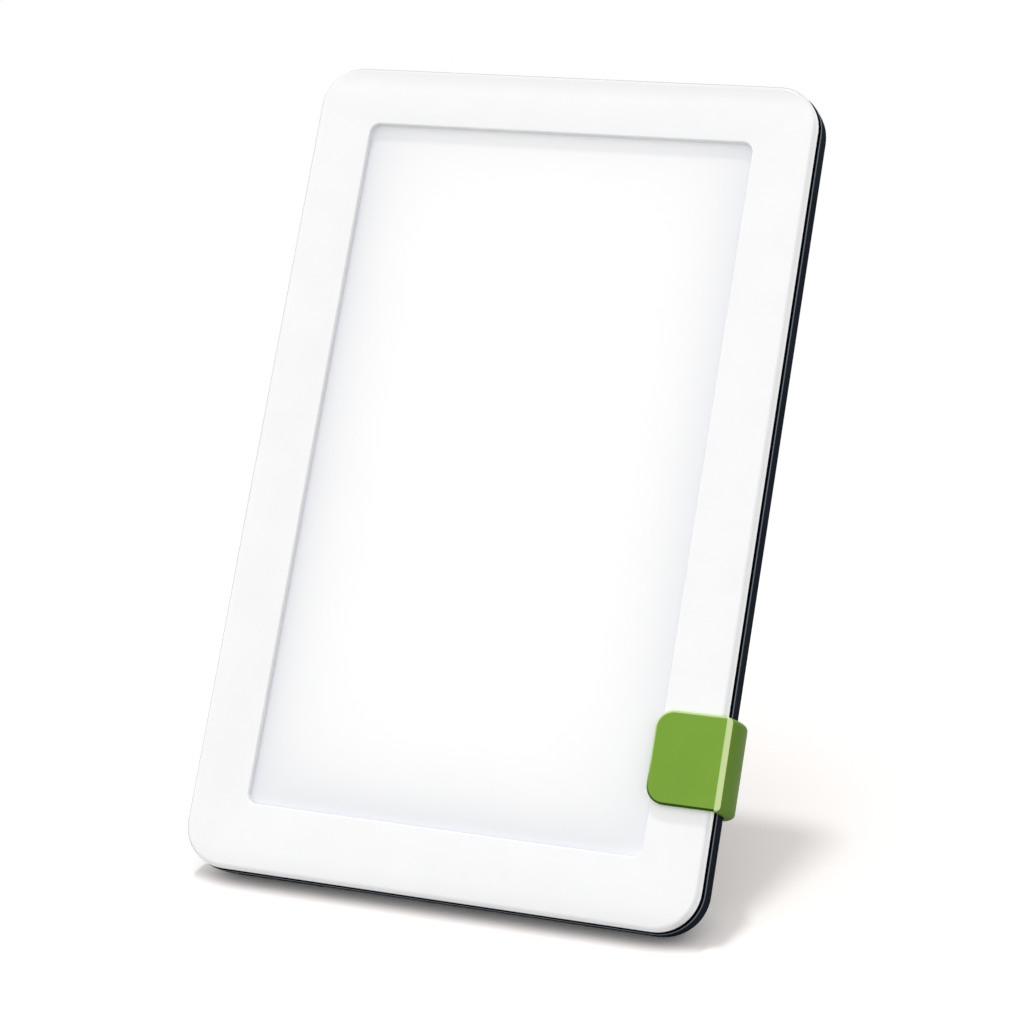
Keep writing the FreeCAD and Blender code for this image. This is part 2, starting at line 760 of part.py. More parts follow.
def tact_switch():
    """Housing of the push switch under the power button."""
    body = new_body("tact_switch")
    half = "dim.switch_width/2"
    block = rounded(
        f"-(dim.button_left+{half})",
        f"-(dim.button_left-{half})",
        f"dim.button_up-{half}",
        f"dim.button_up+{half}",
        "dim.switch_corner_radius",
    )
    add(body, "housing", "XY_Plane", *between(BOARD_BACK, SWITCH_BACK), block)
    well = disc("-dim.button_left", "dim.button_up", "(dim.plunger_radius+dim.plunger_clearance)")
    depth = between(f"{BOARD_BACK}+dim.switch_floor", f"{SWITCH_BACK}+{OVERRUN}")
    cut(body, "plunger_well", "XY_Plane", *depth, well)
    return body


def switch_plunger():
    """Plunger of the push switch, which travels with the button."""
    body = new_body("switch_plunger")
    pressed = f"{BOARD_BACK}+dim.switch_floor+dim.plunger_clearance"
    depth = between(f"{pressed}+dim.button_travel", f"{SWITCH_BACK}+dim.plunger_proud")
    post = disc("-dim.button_left", "dim.button_up", "dim.plunger_radius")
    add(body, "post", "XY_Plane", *depth, post)
    return body


def power_button():
    """Round button cap in the back, with an inner flange and a stem onto the switch."""
    body = new_body("power_button")
    place = ("-dim.button_left", "dim.button_up")
    flange_back = f"({INNER_BACK}-dim.flange_gap)"
    flange_front = f"({flange_back}-dim.button_flange_thickness)"
    cap = between(flange_front, "dim.head_depth+dim.button_proud")
    add(body, "cap", "XY_Plane", *cap, disc(*place, "dim.button_radius"))
    flange = between(flange_front, flange_back)
    add(body, "flange", "XY_Plane", *flange, disc(*place, "dim.button_flange_radius"))
    stem = between(f"{SWITCH_BACK}+dim.plunger_proud+dim.stem_gap", flange_front)
    add(body, "stem", "XY_Plane", *stem, disc(*place, "dim.stem_radius"))
    face = "dim.head_depth+dim.button_proud"
    fillet(body, "cap_edge", "dim.button_edge_radius", at(z=f"-({face})"))
    dish = between(f"{face}-dim.button_dish_depth", f"{face}+{OVERRUN}")
    middle = disc(*place, "(dim.button_radius-dim.button_dish_inset)")
    cut(body, "finger_dish", "XY_Plane", *dish, middle)
    return body


def rear_shell():
    """Dark rear shell: rim, curved back, screw bosses, inlet, button hole and vents."""
    body = new_body("rear_shell")
    rim = inset_outline("-dim.rim_proud")
    add(body, "block", "XY_Plane", *between("dim.seam_depth", "dim.head_depth"), rim)
    hollow = between(f"dim.seam_depth-{OVERRUN}", INNER_BACK)
    cut(body, "hollow", "XY_Plane", *hollow, inset_outline("dim.wall_thickness"))
    fillet(body, "inner_edge", "dim.rear_radius-dim.wall_thickness", at(z=f"-{INNER_BACK}"))
    fillet(body, "rear_edge", "dim.rear_radius", at(z="-dim.head_depth"))
    groove = between(f"dim.seam_depth-{OVERRUN}", "dim.seam_depth+dim.groove_width")
    beyond = inset_outline("-dim.wall_thickness")
    cut(body, "seam_groove", "XY_Plane", *groove, beyond, inset_outline("dim.groove_inset"))
    level = at(z="-(dim.seam_depth+dim.groove_width)")
    outer = value("dim.groove_inset") / 2
    side = value(HALF) - outer
    height = value(TOP)
    fillet(
        body,
        "rim_edge",
        "dim.rim_edge_radius",
        lambda edge: level(edge)
        and (
            max(abs(edge.BoundBox.XMin), abs(edge.BoundBox.XMax)) > side
            or edge.BoundBox.YMin < outer
            or edge.BoundBox.YMax > height - outer
        ),
    )
    boss = between("dim.case_boss_depth+dim.case_boss_gap", f"{INNER_BACK}+{BITE}")
    bored = "(dim.case_head_radius+dim.counterbore_clearance)"
    discs = [disc(x, y, f"({bored}+dim.counterbore_wall)") for x, y in case_screw_places()]
    add(body, "screw_bosses", "XY_Plane", *boss, *discs)
    seat = between("dim.case_seat_depth", f"dim.head_depth+{OVERRUN}")
    discs = [disc(x, y, bored) for x, y in case_screw_places()]
    cut(body, "counterbores", "XY_Plane", *seat, *discs)
    through = between(f"dim.case_boss_depth-{OVERRUN}", f"dim.case_seat_depth+{OVERRUN}")
    hole = "(dim.case_screw_radius+dim.shank_clearance)"
    discs = [disc(x, y, hole) for x, y in case_screw_places()]
    cut(body, "screw_holes", "XY_Plane", *through, *discs)
    outside = f"-({HALF}+{OVERRUN})"
    wall = f"-({HALF}-dim.jack_start)"
    inlet = disc("dim.inlet_up", "-dim.inlet_depth", "dim.inlet_hole_radius")
    cut(body, "inlet_hole", "YZ_Plane", outside, wall, inlet)
    recess = disc("dim.inlet_up", "-dim.inlet_depth", "dim.inlet_recess_radius")
    depth = f"-({HALF}+dim.rim_proud-dim.inlet_recess_depth)"
    cut(body, "inlet_recess", "YZ_Plane", outside, depth, recess)
    skin = between(f"{INNER_BACK}-{OVERRUN}", f"dim.head_depth+{OVERRUN}")
    hole = disc("-dim.button_left", "dim.button_up", "(dim.button_radius+dim.button_clearance)")
    cut(body, "button_hole", "XY_Plane", *skin, hole)
    span = "(dim.vent_pitch*(dim.vent_count-1))"
    slot = rounded(
        f"-({span}+dim.vent_width)/2",
        f"(-{span}+dim.vent_width)/2",
        "dim.vent_bottom",
        "dim.vent_top",
        "dim.vent_end_radius",
    )
    vent = cut(body, "vent", "XY_Plane", *skin, slot)
    repeat(body, "vents", vent, "X_Axis", span, "dim.vent_count")
    return body


def cross_recess(x, y, far):
    """The two slots of a cross drive, as one twelve-sided outline."""
    near = "dim.cross_width/2"
    steps = (
        (far, near),
        (near, near),
        (near, far),
        (f"-{near}", far),
        (f"-{near}", near),
        (f"-{far}", near),
        (f"-{far}", f"-{near}"),
        (f"-{near}", f"-{near}"),
        (f"-{near}", f"-{far}"),
        (near, f"-{far}"),
        (near, f"-{near}"),
        (far, f"-{near}"),
    )
    return outline(*[(f"({x})+({dx})", f"({y})+({dy})") for dx, dy in steps])


def screws(label, places, seat, tip, radius, head_radius, head_height):
    """A group of like pan-head screws driven from the back."""
    body = new_body(label, many=True)
    discs = [disc(x, y, radius) for x, y in places]
    add(body, "shanks", "XY_Plane", *between(tip, seat), *discs)
    heads = between(seat, f"{seat}+{head_height}")
    discs = [disc(x, y, head_radius) for x, y in places]
    add(body, "heads", "XY_Plane", *heads, *discs)
    top = f"{seat}+{head_height}"
    drive = between(f"{seat}+{head_height}*dim.cross_floor_share", f"{top}+{OVERRUN}")
    reach = f"({head_radius}*dim.cross_reach_share)"
    crosses = [cross_recess(x, y, reach) for x, y in places]
    cut(body, "drives", "XY_Plane", *drive, *crosses)
    return body


def stand_clip():
    """Green clip that grips the head's edge, with an arm and mast behind that carry the leg."""
    body = new_body("stand_clip")
    low, high = "dim.clip_bottom", "dim.clip_top"
    edge = f"({HALF}+dim.clip_side)"
    tip = f"({HALF}-dim.flap_length)"
    inner_side = f"({HALF}+dim.rim_proud+dim.clip_gap)"
    facet = f"({edge}-dim.clip_bevel)"
    bevel_foot = "(dim.flap_front-dim.clip_bevel_drop)"
    blank = f"({edge}+dim.clip_blank)"
    profile = outline(
        (tip, "dim.flap_front"),
        (facet, "dim.flap_front"),
        (edge, bevel_foot),
        (blank, bevel_foot),
        (blank, f"-{ARM_BACK}"),
        ("0", f"-{ARM_BACK}"),
        ("0", f"-{CLIP_INNER_BACK}"),
        (inner_side, f"-{CLIP_INNER_BACK}"),
        (inner_side, "dim.flap_gap"),
        (tip, "dim.flap_gap"),
    )
    add(body, "hook", "XZ_Plane", low, high, profile)
    inner_corner = at(x=inner_side, z=f"-{CLIP_INNER_BACK}")
    fillet(body, "inner_bend", "dim.rear_radius+dim.clip_gap", inner_corner)
    rise = f"(dim.clip_swell_depth+{bevel_foot})"
    side = right_of_arc(
        f"({edge}-sqrt(dim.clip_swell_radius*dim.clip_swell_radius-{rise}*{rise}))",
        "-dim.clip_swell_depth",
        "dim.clip_swell_radius",
        f"({blank}+{OVERRUN})",
        f"-({ARM_BACK}+{OVERRUN})",
        bevel_foot,
    )
    cut(body, "swollen_side", "XZ_Plane", f"{low}-{OVERRUN}", f"{high}+{OVERRUN}", side)
    fillet(
        body,
        "side_ends",
        "dim.clip_end_radius",
        either(curved_at(edge, low), curved_at(edge, high)),
    )
    corners = either(at(x=tip, y=low), at(x=tip, y=high))
    fillet(body, "flap_corners", "dim.flap_corner_radius", corners)
    on_face = at(z="dim.flap_front")
    facet_line = at(x=facet)
    chamfer(
        body,
        "flap_edge",
        "dim.flap_chamfer",
        lambda item: on_face(item) and not facet_line(item),
    )
    half_mast = "dim.mast_width/2"
    mast = rounded(f"-{half_mast}", half_mast, low, "dim.mast_top", "dim.mast_corner_radius")
    add(body, "mast", "XY_Plane", *between(CLIP_INNER_BACK, MAST_BACK), mast)
    root = f"-({MAST_BACK}-{BITE})"
    ear = outline(
        ("(dim.hinge_up-dim.ear_reach)", root),
        ("(dim.hinge_up+dim.ear_reach)", root),
        ("(dim.hinge_up+dim.ear_radius*dim.ear_taper)", f"-{HINGE_DEPTH}"),
        ("(dim.hinge_up-dim.ear_radius*dim.ear_taper)", f"-{HINGE_DEPTH}"),
    )
    eye = disc("dim.hinge_up", f"-{HINGE_DEPTH}", "dim.ear_radius")
    inner_face = f"({half_mast}-dim.ear_width)"
    for n, (near, far) in enumerate(((f"-{half_mast}", f"-{inner_face}"), (inner_face, half_mast))):
        add(body, f"ear_{n}", "YZ_Plane", near, far, ear)
        add(body, f"eye_{n}", "YZ_Plane", near, far, eye)
    hole = disc("dim.hinge_up", f"-{HINGE_DEPTH}", "dim.pin_radius")
    cut(body, "pin_hole", "YZ_Plane", f"-({half_mast}+{OVERRUN})", f"({half_mast}+{OVERRUN})", hole)
    pad_side = (f"({tip}+dim.pad_margin)", f"({tip}+dim.pad_margin+dim.pad_length)")
    pad_ends = (f"({low}+dim.pad_margin)", f"({high}-dim.pad_margin)")
    pocket = oblong(*pad_side, *pad_ends)
    outer = "(dim.pad_gap+dim.pad_thickness)"
    cut(body, "front_pocket", "XY_Plane", "0", outer, pocket)
    rear = between("dim.head_depth", f"dim.head_depth+{outer}")
    cut(body, "rear_pocket", "XY_Plane", *rear, pocket)
    return body


def grip_pad(label, low, high):
    """Thin rubber pad let into one jaw of the clip."""
    body = new_body(label)
    left = f"({HALF}-dim.flap_length+dim.pad_margin)"
    ends = ("(dim.clip_bottom+dim.pad_margin)", "(dim.clip_top-dim.pad_margin)")
    shape = oblong(left, f"({left}+dim.pad_length)", *ends)
    add(body, "pad", "XY_Plane", low, high, shape)
    return body


def hinge_pin():
    """Steel pin through the mast's ears and the leg's barrel."""
    body = new_body("hinge_pin")
    end = "(dim.mast_width/2+dim.pin_proud)"
    rod = disc("dim.hinge_up", f"-{HINGE_DEPTH}", "dim.pin_radius")
    add(body, "rod", "YZ_Plane", f"-{end}", end, rod)
    fillet(body, "ends", "dim.pin_end_radius", either(at(x=end), at(x=f"-{end}")))
    return body


def hinge_washers():
    """Two thin washers between the leg's barrel and the ears."""
    body = new_body("hinge_washers", many=True)
    gap = "(dim.barrel_gap-dim.washer_thickness)/2"
    inner, outer = f"({LEG_HALF}+{gap})", f"({LEG_HALF}+{gap}+dim.washer_thickness)"
    middle = ("dim.hinge_up", f"-{HINGE_DEPTH}")
    ring = (disc(*middle, "dim.barrel_radius"), disc(*middle, "dim.pin_radius+dim.pin_clearance"))
    add(body, "right", "YZ_Plane", inner, outer, *ring)
    add(body, "left", "YZ_Plane", f"-{outer}", f"-{inner}", *ring)
    return body


def leg_outline():
    """The leg's plate: straight between the ears, then wider towards the foot."""
    foot_half = "dim.leg_foot_width/2"
    return outline(
        (f"-{LEG_HALF}", "0"),
        (LEG_HALF, "0"),
        (LEG_HALF, "dim.leg_neck"),
        (foot_half, LEG_END),
        (f"-{foot_half}", LEG_END),
        (f"-{LEG_HALF}", "dim.leg_neck"),
    )


def stand_leg():
    """Folding leg, in its own frame: barrel at the pin, heel stop, plate, recess and grip ribs."""
    body = new_body("stand_leg")
    add(body, "barrel", "YZ_Plane", f"-{LEG_HALF}", LEG_HALF, disc("0", "0", "dim.barrel_radius"))
    add(body, "plate", "XY_Plane", "-dim.leg_inner", LEG_OUTER, leg_outline())
    reach = "(dim.hinge_stand_off-dim.heel_gap)"
    heel = outline(
        ("0", "0"),
        (f"-{reach}*{SIN_LEG}", f"-{reach}*{COS_LEG}"),
        (
            f"-{reach}*{SIN_LEG}-dim.heel_length*{COS_LEG}",
            f"-{reach}*{COS_LEG}+dim.heel_length*{SIN_LEG}",
        ),
        (f"-dim.heel_length*{COS_LEG}", f"dim.heel_length*{SIN_LEG}"),
    )
    add(body, "heel", "YZ_Plane", f"-{LEG_HALF}", LEG_HALF, heel)
    bore = disc("0", "0", "(dim.pin_radius+dim.pin_clearance)")
    cut(body, "bore", "YZ_Plane", f"-({LEG_HALF}+{OVERRUN})", f"({LEG_HALF}+{OVERRUN})", bore)
    side = "(dim.leg_recess_width/2)"
    ends = ("dim.leg_recess_start", "dim.leg_recess_end")
    face = rounded(f"-{side}", side, *ends, "dim.leg_recess_radius")
    floor = f"{LEG_OUTER}-dim.leg_recess_depth"
    cut(body, "recess", "XY_Plane", floor, f"{LEG_OUTER}+{OVERRUN}", face)
    first = "(dim.leg_recess_end+dim.grip_rib_gap)"
    ridge = oblong(f"-{side}", side, first, f"({first}+dim.grip_rib_width)")
    crest = f"{LEG_OUTER}+dim.grip_rib_height"
    rib = add(body, "grip_rib", "XY_Plane", f"{LEG_OUTER}-{BITE}", crest, ridge)
    repeat(body, "grip_ribs", rib, "Y_Axis", "dim.grip_rib_span", "dim.grip_rib_count")
    return body


def leg_foot():
    """Rubber shoe on the leg's end, cut flat where it meets the desk."""
    body = new_body("leg_foot")
    half = "(dim.leg_foot_width/2+dim.shoe_wall)"
    start = f"({LEG_LENGTH}-dim.shoe_length)"
    end = f"({LEG_LENGTH}+dim.shoe_length)"
    block = rounded(f"-{half}", half, start, end, "dim.leg_corner_radius")
    inner, outer = "-(dim.leg_inner+dim.shoe_wall)", f"({LEG_OUTER}+dim.shoe_wall)"
    add(body, "block", "XY_Plane", inner, outer, block)
    slope = f"dim.shoe_length*tan({LEG_SPLAY}*1deg)"
    below = outline(
        (f"({LEG_LENGTH}-{slope})", "-dim.shoe_length"),
        (f"({LEG_LENGTH}+{slope})", "dim.shoe_length"),
        (f"({LEG_LENGTH}+2*dim.shoe_length)", "dim.shoe_length"),
        (f"({LEG_LENGTH}+2*dim.shoe_length)", "-dim.shoe_length"),
    )
    cut(body, "sole", "YZ_Plane", f"-({half}+{OVERRUN})", f"({half}+{OVERRUN})", below)
    cut(body, "socket", "XY_Plane", "-dim.leg_inner", LEG_OUTER, leg_outline())
    return body


def bottom_foot(label, side):
    """Thin rubber sole under the head's curved rear bottom edge, drawn about the curve's centre."""
    block = doc.addObject("Part::Box", f"{label}_block")
    block.setExpression("Length", "dim.sole_length")
    block.setExpression("Width", "dim.sole_front+dim.sole_back")
    block.setExpression("Height", "dim.sole_rise")
    left = f"{side}*dim.sole_middle-dim.sole_length/2"
    block.setExpression(".Placement.Base.x", left)
    block.setExpression(".Placement.Base.y", "-dim.sole_front")
    block.setExpression(".Placement.Base.z", "-(dim.rear_radius+dim.sole_thickness)")
    curve = doc.addObject("Part::Cylinder", f"{label}_curve")
    curve.setExpression("Radius", "dim.rear_radius")
    curve.setExpression("Height", "dim.head_width")
    curve.Placement = Placement(Vector(-value(HALF), 0, 0), Rotation(Vector(0, 1, 0), 90))
    foot = doc.addObject("Part::Cut", label)
    foot.Label = label
    foot.Base = block
    foot.Tool = curve
    doc.recompute()
    return foot


def led_lead(label, points, bend):
    """Sleeved pair of wires from an LED strip to the board, along straight runs and arcs."""
    corners = [Vector(*point) for point in points]
    edges = []
    start = corners[0]
    for before, corner, after in zip(corners, corners[1:], corners[2:]):
        back = (before - corner).normalize()
        on = (after - corner).normalize()
        half = back.getAngle(on) / 2
        reach = bend / tan(half)
        entry = corner + back * reach
        leave = corner + on * reach
        centre = corner + (back + on).normalize() * (bend / sin(half))
        middle = centre + (corner - centre).normalize() * bend
        edges.append(Part.LineSegment(start, entry).toShape())
        edges.append(Part.Arc(entry, middle, leave).toShape())
        start = leave
    edges.append(Part.LineSegment(start, corners[-1]).toShape())
    path = Part.Wire(edges)
    first = Part.Circle(corners[0], corners[1] - corners[0], value("dim.lead_radius"))
    section = Part.Wire([first.toShape()])
    lead = doc.addObject("Part::Feature", label)
    lead.Label = label
    lead.Shape = path.makePipeShell([section], True, False)
    return lead


def led_leads():
    """The two leads, which pass the chassis notches and run below the board to its plug."""
    outer = value(f"({STRIP_INNER}+dim.strip_thickness/2)")
    back = -value(REFLECTOR_FRONT)
    bend = value("dim.lead_bend")
    plug_up = value(PLUG_BOTTOM)
    left = [
        (-outer, 18.4, back),
        (-outer, 18.4, -9.8),
        (-56.0, 14.5, -13.0),
        (-23.5, 14.2, -14.0),
        (-23.5, plug_up, -14.0),
    ]
    right = [
        (outer, 18.4, back),
        (outer, 18.4, -9.8),
        (54.0, 14.0, -12.5),
        (0.0, 13.0, -13.5),
        (-18.5, 14.2, -14.0),
        (-18.5, plug_up, -14.0),
    ]
    return [led_lead("led_lead_left", left, bend), led_lead("led_lead_right", right, bend)]


def head_parts():
    """Every sub-part that is drawn in the lamp head's frame, the stand's clip among them."""
    screw_tip = "dim.seam_depth+dim.screw_tip_gap"
    case = (
        "dim.case_seat_depth",
        screw_tip,
        "dim.case_screw_radius",
        "dim.case_head_radius",
        "dim.case_head_height",
    )
    small = ("dim.small_screw_radius", "dim.small_head_radius", "dim.small_head_height")
    inductor = disc("-dim.inductor_left", "dim.inductor_up", "dim.inductor_radius")
    capacitors = [
        disc(f"-(dim.capacitor_left-{n}*dim.capacitor_pitch)", "dim.capacitor_up", "dim.capacitor_radius")
        for n in range(2)
    ]
    chips = [oblong(*sides) for sides in CHIPS]
    plug_sides = ("-dim.plug_left", "-dim.plug_right")
    plug = oblong(*plug_sides, PLUG_BOTTOM, f"{PLUG_BOTTOM}+dim.plug_length")
    board_tip = f"{CHASSIS_BACK}+dim.standoff_floor+dim.screw_tip_gap"
    return [
        front_frame(),
        panel_layer("diffuser_panel", PANEL_FRONT, "dim.diffuser_thickness"),
        panel_layer("prism_sheet", PRISM_FRONT, "dim.prism_thickness"),
        panel_layer("light_guide_plate", GUIDE_FRONT, "dim.guide_thickness"),
        panel_layer("reflector_sheet", REFLECTOR_FRONT, "dim.reflector_thickness"),
        chassis_plate(),
        led_strip(-1, "led_strip_left"),
        led_strip(1, "led_strip_right"),
        led_row(-1, "led_row_left"),
        led_row(1, "led_row_right"),
        *led_leads(),
        driver_board(),
        board_part("driver_inductor", "dim.inductor_height", inductor, soften="dim.component_edge_radius"),
        board_part("driver_capacitors", "dim.capacitor_height", *capacitors),
        board_part("driver_chips", "dim.chip_height", *chips),
        board_part("led_plug", "dim.plug_height", plug),
        power_jack(),
        power_jack_contact(),
        tact_switch(),
        switch_plunger(),
        power_button(),
        rear_shell(),
        screws("case_screws", case_screw_places(), *case),
        screws("chassis_screws", chassis_screw_places(), CHASSIS_BACK, screw_tip, *small),
        screws("board_screws", board_screw_places(), BOARD_BACK, board_tip, *small),
        stand_clip(),
        grip_pad("grip_pad_front", "dim.pad_gap", "(dim.pad_gap+dim.pad_thickness)"),
        grip_pad(
            "grip_pad_rear",
            "-(dim.head_depth+dim.pad_gap+dim.pad_thickness)",
            "-(dim.head_depth+dim.pad_gap)",
        ),
        hinge_pin(),
        hinge_washers(),
    ]


def place_all(head, leg, feet):
    """Lean the head, open the leg, and bring the middle of the footprint box to the origin."""
    turn = Rotation(Vector(1, 0, 0), 90 - value("dim.lean_angle"))
    hinge = Vector(0, value("dim.hinge_up"), -value(HINGE_DEPTH))
    opening = Placement(hinge, Rotation(Vector(1, 0, 0), 180 + value("dim.leg_angle")))
    rear_curve = Vector(0, value(REAR_CENTRE_UP), -value(REAR_CENTRE_DEPTH))
    base = Vector(0, 0, value(FLOOR_RISE))
    for final in (False, True):
        lean = Placement(base, turn)
        for item in head:
            item.Placement = lean
        for item in leg:
            item.Placement = lean * opening
        for item in feet:
            item.Placement = Placement(lean.multVec(rear_curve), Rotation())
        if not final:
            whole = FreeCAD.BoundBox()
            for item in head + leg + feet:
                whole.add(item.Shape.optimalBoundingBox(False, False))
            base = base - Vector(whole.Center.x, whole.Center.y, 0)
    return lean


def main():
    """Build, place, test and write every sub-part."""
    head = head_parts()
    leg = [stand_leg(), leg_foot()]
    feet = [bottom_foot("bottom_foot_left", -1), bottom_foot("bottom_foot_right", 1)]
    lean = place_all(head, leg, feet)
    doc.recompute()
    for item in doc.Objects:
        if "Invalid" in item.State or "Error" in item.State:
            raise RuntimeError(f"{item.Label} has not been built: {item.State}")
    parts = head + leg + feet
    for item in parts:
        if item.Shape.isNull() or not item.Shape.isValid() or not item.Shape.Solids:
            raise RuntimeError(f"{item.Label} is not a valid solid")
    os.makedirs("parts", exist_ok=True)
    for item in parts:
        item.Shape.exportStep(f"parts/{item.Label}.step")
        print(f"{item.Label}: {len(item.Shape.Solids)} solids, {item.Shape.Volume:.1f} mm3")
    print(f"{len(parts)} sub-parts; the head's own origin is at {lean.Base}")


main()
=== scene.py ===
"""Looks of a light therapy lamp: a lit panel in a white frame, leaning on a green clip-on stand."""

import json
import logging
import math
from dataclasses import dataclass, field
from enum import Enum
from typing import Any, ClassVar

import bmesh
import bpy
from mathutils import Matrix, Vector


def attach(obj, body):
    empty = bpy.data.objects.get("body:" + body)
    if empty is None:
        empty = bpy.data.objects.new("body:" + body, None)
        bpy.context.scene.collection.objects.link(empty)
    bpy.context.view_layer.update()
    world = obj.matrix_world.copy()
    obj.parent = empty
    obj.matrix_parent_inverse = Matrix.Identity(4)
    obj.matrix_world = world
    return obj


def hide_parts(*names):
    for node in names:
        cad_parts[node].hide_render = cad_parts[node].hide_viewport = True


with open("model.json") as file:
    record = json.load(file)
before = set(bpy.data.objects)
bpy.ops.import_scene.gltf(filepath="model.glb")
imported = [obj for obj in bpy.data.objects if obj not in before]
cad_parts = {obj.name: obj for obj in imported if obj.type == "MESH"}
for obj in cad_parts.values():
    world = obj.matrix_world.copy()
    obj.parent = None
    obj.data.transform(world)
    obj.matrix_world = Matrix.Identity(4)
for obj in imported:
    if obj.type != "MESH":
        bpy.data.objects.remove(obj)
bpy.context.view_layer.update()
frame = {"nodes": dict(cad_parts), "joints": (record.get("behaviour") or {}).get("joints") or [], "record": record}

LOG = logging.getLogger("light_therapy_lamp")
MM = 0.001
MERGE_DISTANCE = 0.0005 * MM
FLAT_ANGLE = math.radians(0.3)

# The head's outline: half its width, its height and its corners' radius.
HALF_WIDTH = 74.5 * MM
HEIGHT = 235.7 * MM
CORNER = 12.0 * MM

Colour = tuple[float, float, float]
Scale = tuple[float, float, float]
Span = tuple[float, float]  # where a smooth step is 0, and where it is 1
BLACK: Colour = (0.0, 0.0, 0.0)
WHITE: Colour = (1.0, 1.0, 1.0)
CENTRE = 0.5  # noise's middle, and half a pattern's pitch
ACRYLIC_IOR = 1.49
PLASTIC_IOR = 1.5
RUBBER_IOR = 1.52
FULL_TURN = 360.0
TOP_OF_RING = 90.0


class Body(Enum):
    """The rigid bodies that pieces ride on."""

    HEAD = "lamp_head"
    BUTTON = "button"
    STAND = "stand"
    LEG = "leg"


# ---------------------------------------------------------------------------------- places


@dataclass(frozen=True)
class HeadFrame:
    """The lamp head's own axes: across, up the panel, and out of its lit front."""

    origin: Vector
    across: Vector
    up: Vector
    out: Vector

    @classmethod
    def from_cad(cls) -> "HeadFrame":
        """Read the axes from the button's travel, and the origin from the front frame.

        Returns:
            The frame whose origin is the middle of the bottom edge, level with the front.
        """
        push = next(joint for joint in frame["joints"] if joint["name"] == "button_push")
        out = Vector(push["axis"]).normalized()
        across = Vector((1.0, 0.0, 0.0))
        up = out.cross(across)
        points = [vertex.co for vertex in frame["nodes"]["front_frame"].data.vertices]
        sides = [point.dot(across) for point in points]
        middle = (min(sides) + max(sides)) / 2
        lowest = min(point.dot(up) for point in points)
        nearest = max(point.dot(out) for point in points)
        return cls(across * middle + up * lowest + out * nearest, across, up, out)

    def matrix(self) -> Matrix:
        """The transform from the head's own axes to the lamp's frame."""
        turn = Matrix((self.across, self.up, self.out)).transposed()
        return Matrix.Translation(self.origin) @ turn.to_4x4()

    def local(self, point: Vector) -> Vector:
        """A point of the lamp's frame, in the head's own axes."""
        away = point - self.origin
        return Vector((away.dot(self.across), away.dot(self.up), away.dot(self.out)))


HEAD = HeadFrame.from_cad()


# ------------------------------------------------------------------------------- shader maths


@dataclass(frozen=True)
class Signal:
    """A number on a shader socket. Python's arithmetic on it adds Math nodes."""

    graph: "Graph"
    socket: Any

    def _math(self, operation: str, *values: Any) -> "Signal":
        """Add one Math node.

        Args:
            operation: The Math node's operation.
            values: Its inputs, in order: signals or numbers.

        Returns:
            The node's result.
        """
        node = self.graph.add("ShaderNodeMath", {"operation": operation}, dict(enumerate(values)))
        return Signal(self.graph, node.outputs[0])

    def __add__(self, other: Any) -> "Signal":
        """This plus other."""
        return self._math("ADD", self, other)

    __radd__ = __add__

    def __sub__(self, other: Any) -> "Signal":
        """This less other."""
        return self._math("SUBTRACT", self, other)

    def __rsub__(self, other: Any) -> "Signal":
        """Other less this."""
        return self._math("SUBTRACT", other, self)

    def __mul__(self, other: Any) -> "Signal":
        """This times other."""
        return self._math("MULTIPLY", self, other)

    __rmul__ = __mul__

    def __truediv__(self, other: Any) -> "Signal":
        """This divided by other."""
        return self._math("DIVIDE", self, other)

    def __abs__(self) -> "Signal":
        """The size of this, without its sign."""
        return self._math("ABSOLUTE", self)

    def __mod__(self, other: Any) -> "Signal":
        """What is left of this after whole others, never negative."""
        return self._math("FLOORED_MODULO", self, other)

    def power(self, exponent: float) -> "Signal":
        """This to a power."""
        return self._math("POWER", self, exponent)

    def decay(self) -> "Signal":
        """e to the power of minus this."""
        return self._math("EXPONENT", self * -1.0)

    def larger(self, other: Any) -> "Signal":
        """The larger of the two."""
        return self._math("MAXIMUM", self, other)

    def rise(self, low: float, high: float) -> "Signal":
        """A smooth step.

        Args:
            low: The value at and below which the step is 0.
            high: The value at and above which it is 1. It may lie below low.

        Returns:
            The step.
        """
        settings = {"interpolation_type": "SMOOTHSTEP"}
        inputs = {"Value": self, "From Min": low, "From Max": high}
        node = self.graph.add("ShaderNodeMapRange", settings, inputs)
        return Signal(self.graph, node.outputs["Result"])


@dataclass(frozen=True)
class Tint:
    """A colour or vector on a shader socket."""

    graph: "Graph"
    socket: Any

    def towards(self, other: Any, factor: Any) -> "Tint":
        """Mix this with another colour.

        Args:
            other: The colour at factor 1.
            factor: How much of the other colour there is.

        Returns:
            The mixed colour.
        """
        return self.graph.mix(self, other, factor)

    def dot(self, axis: Vector) -> Signal:
        """How far this vector reaches along an axis.

        Args:
            axis: The axis, of length 1.

        Returns:
            The reach.
        """
        settings = {"operation": "DOT_PRODUCT"}
        node = self.graph.add("ShaderNodeVectorMath", settings, {0: self, 1: tuple(axis)})
        return Signal(self.graph, node.outputs["Value"])

    def stretched(self, scale: Scale) -> "Tint":
        """Multiply each part of this vector.

        Args:
            scale: What the three parts are multiplied by.

        Returns:
            The stretched vector.
        """
        settings = {"operation": "MULTIPLY"}
        node = self.graph.add("ShaderNodeVectorMath", settings, {0: self, 1: scale})
        return Tint(self.graph, node.outputs["Vector"])


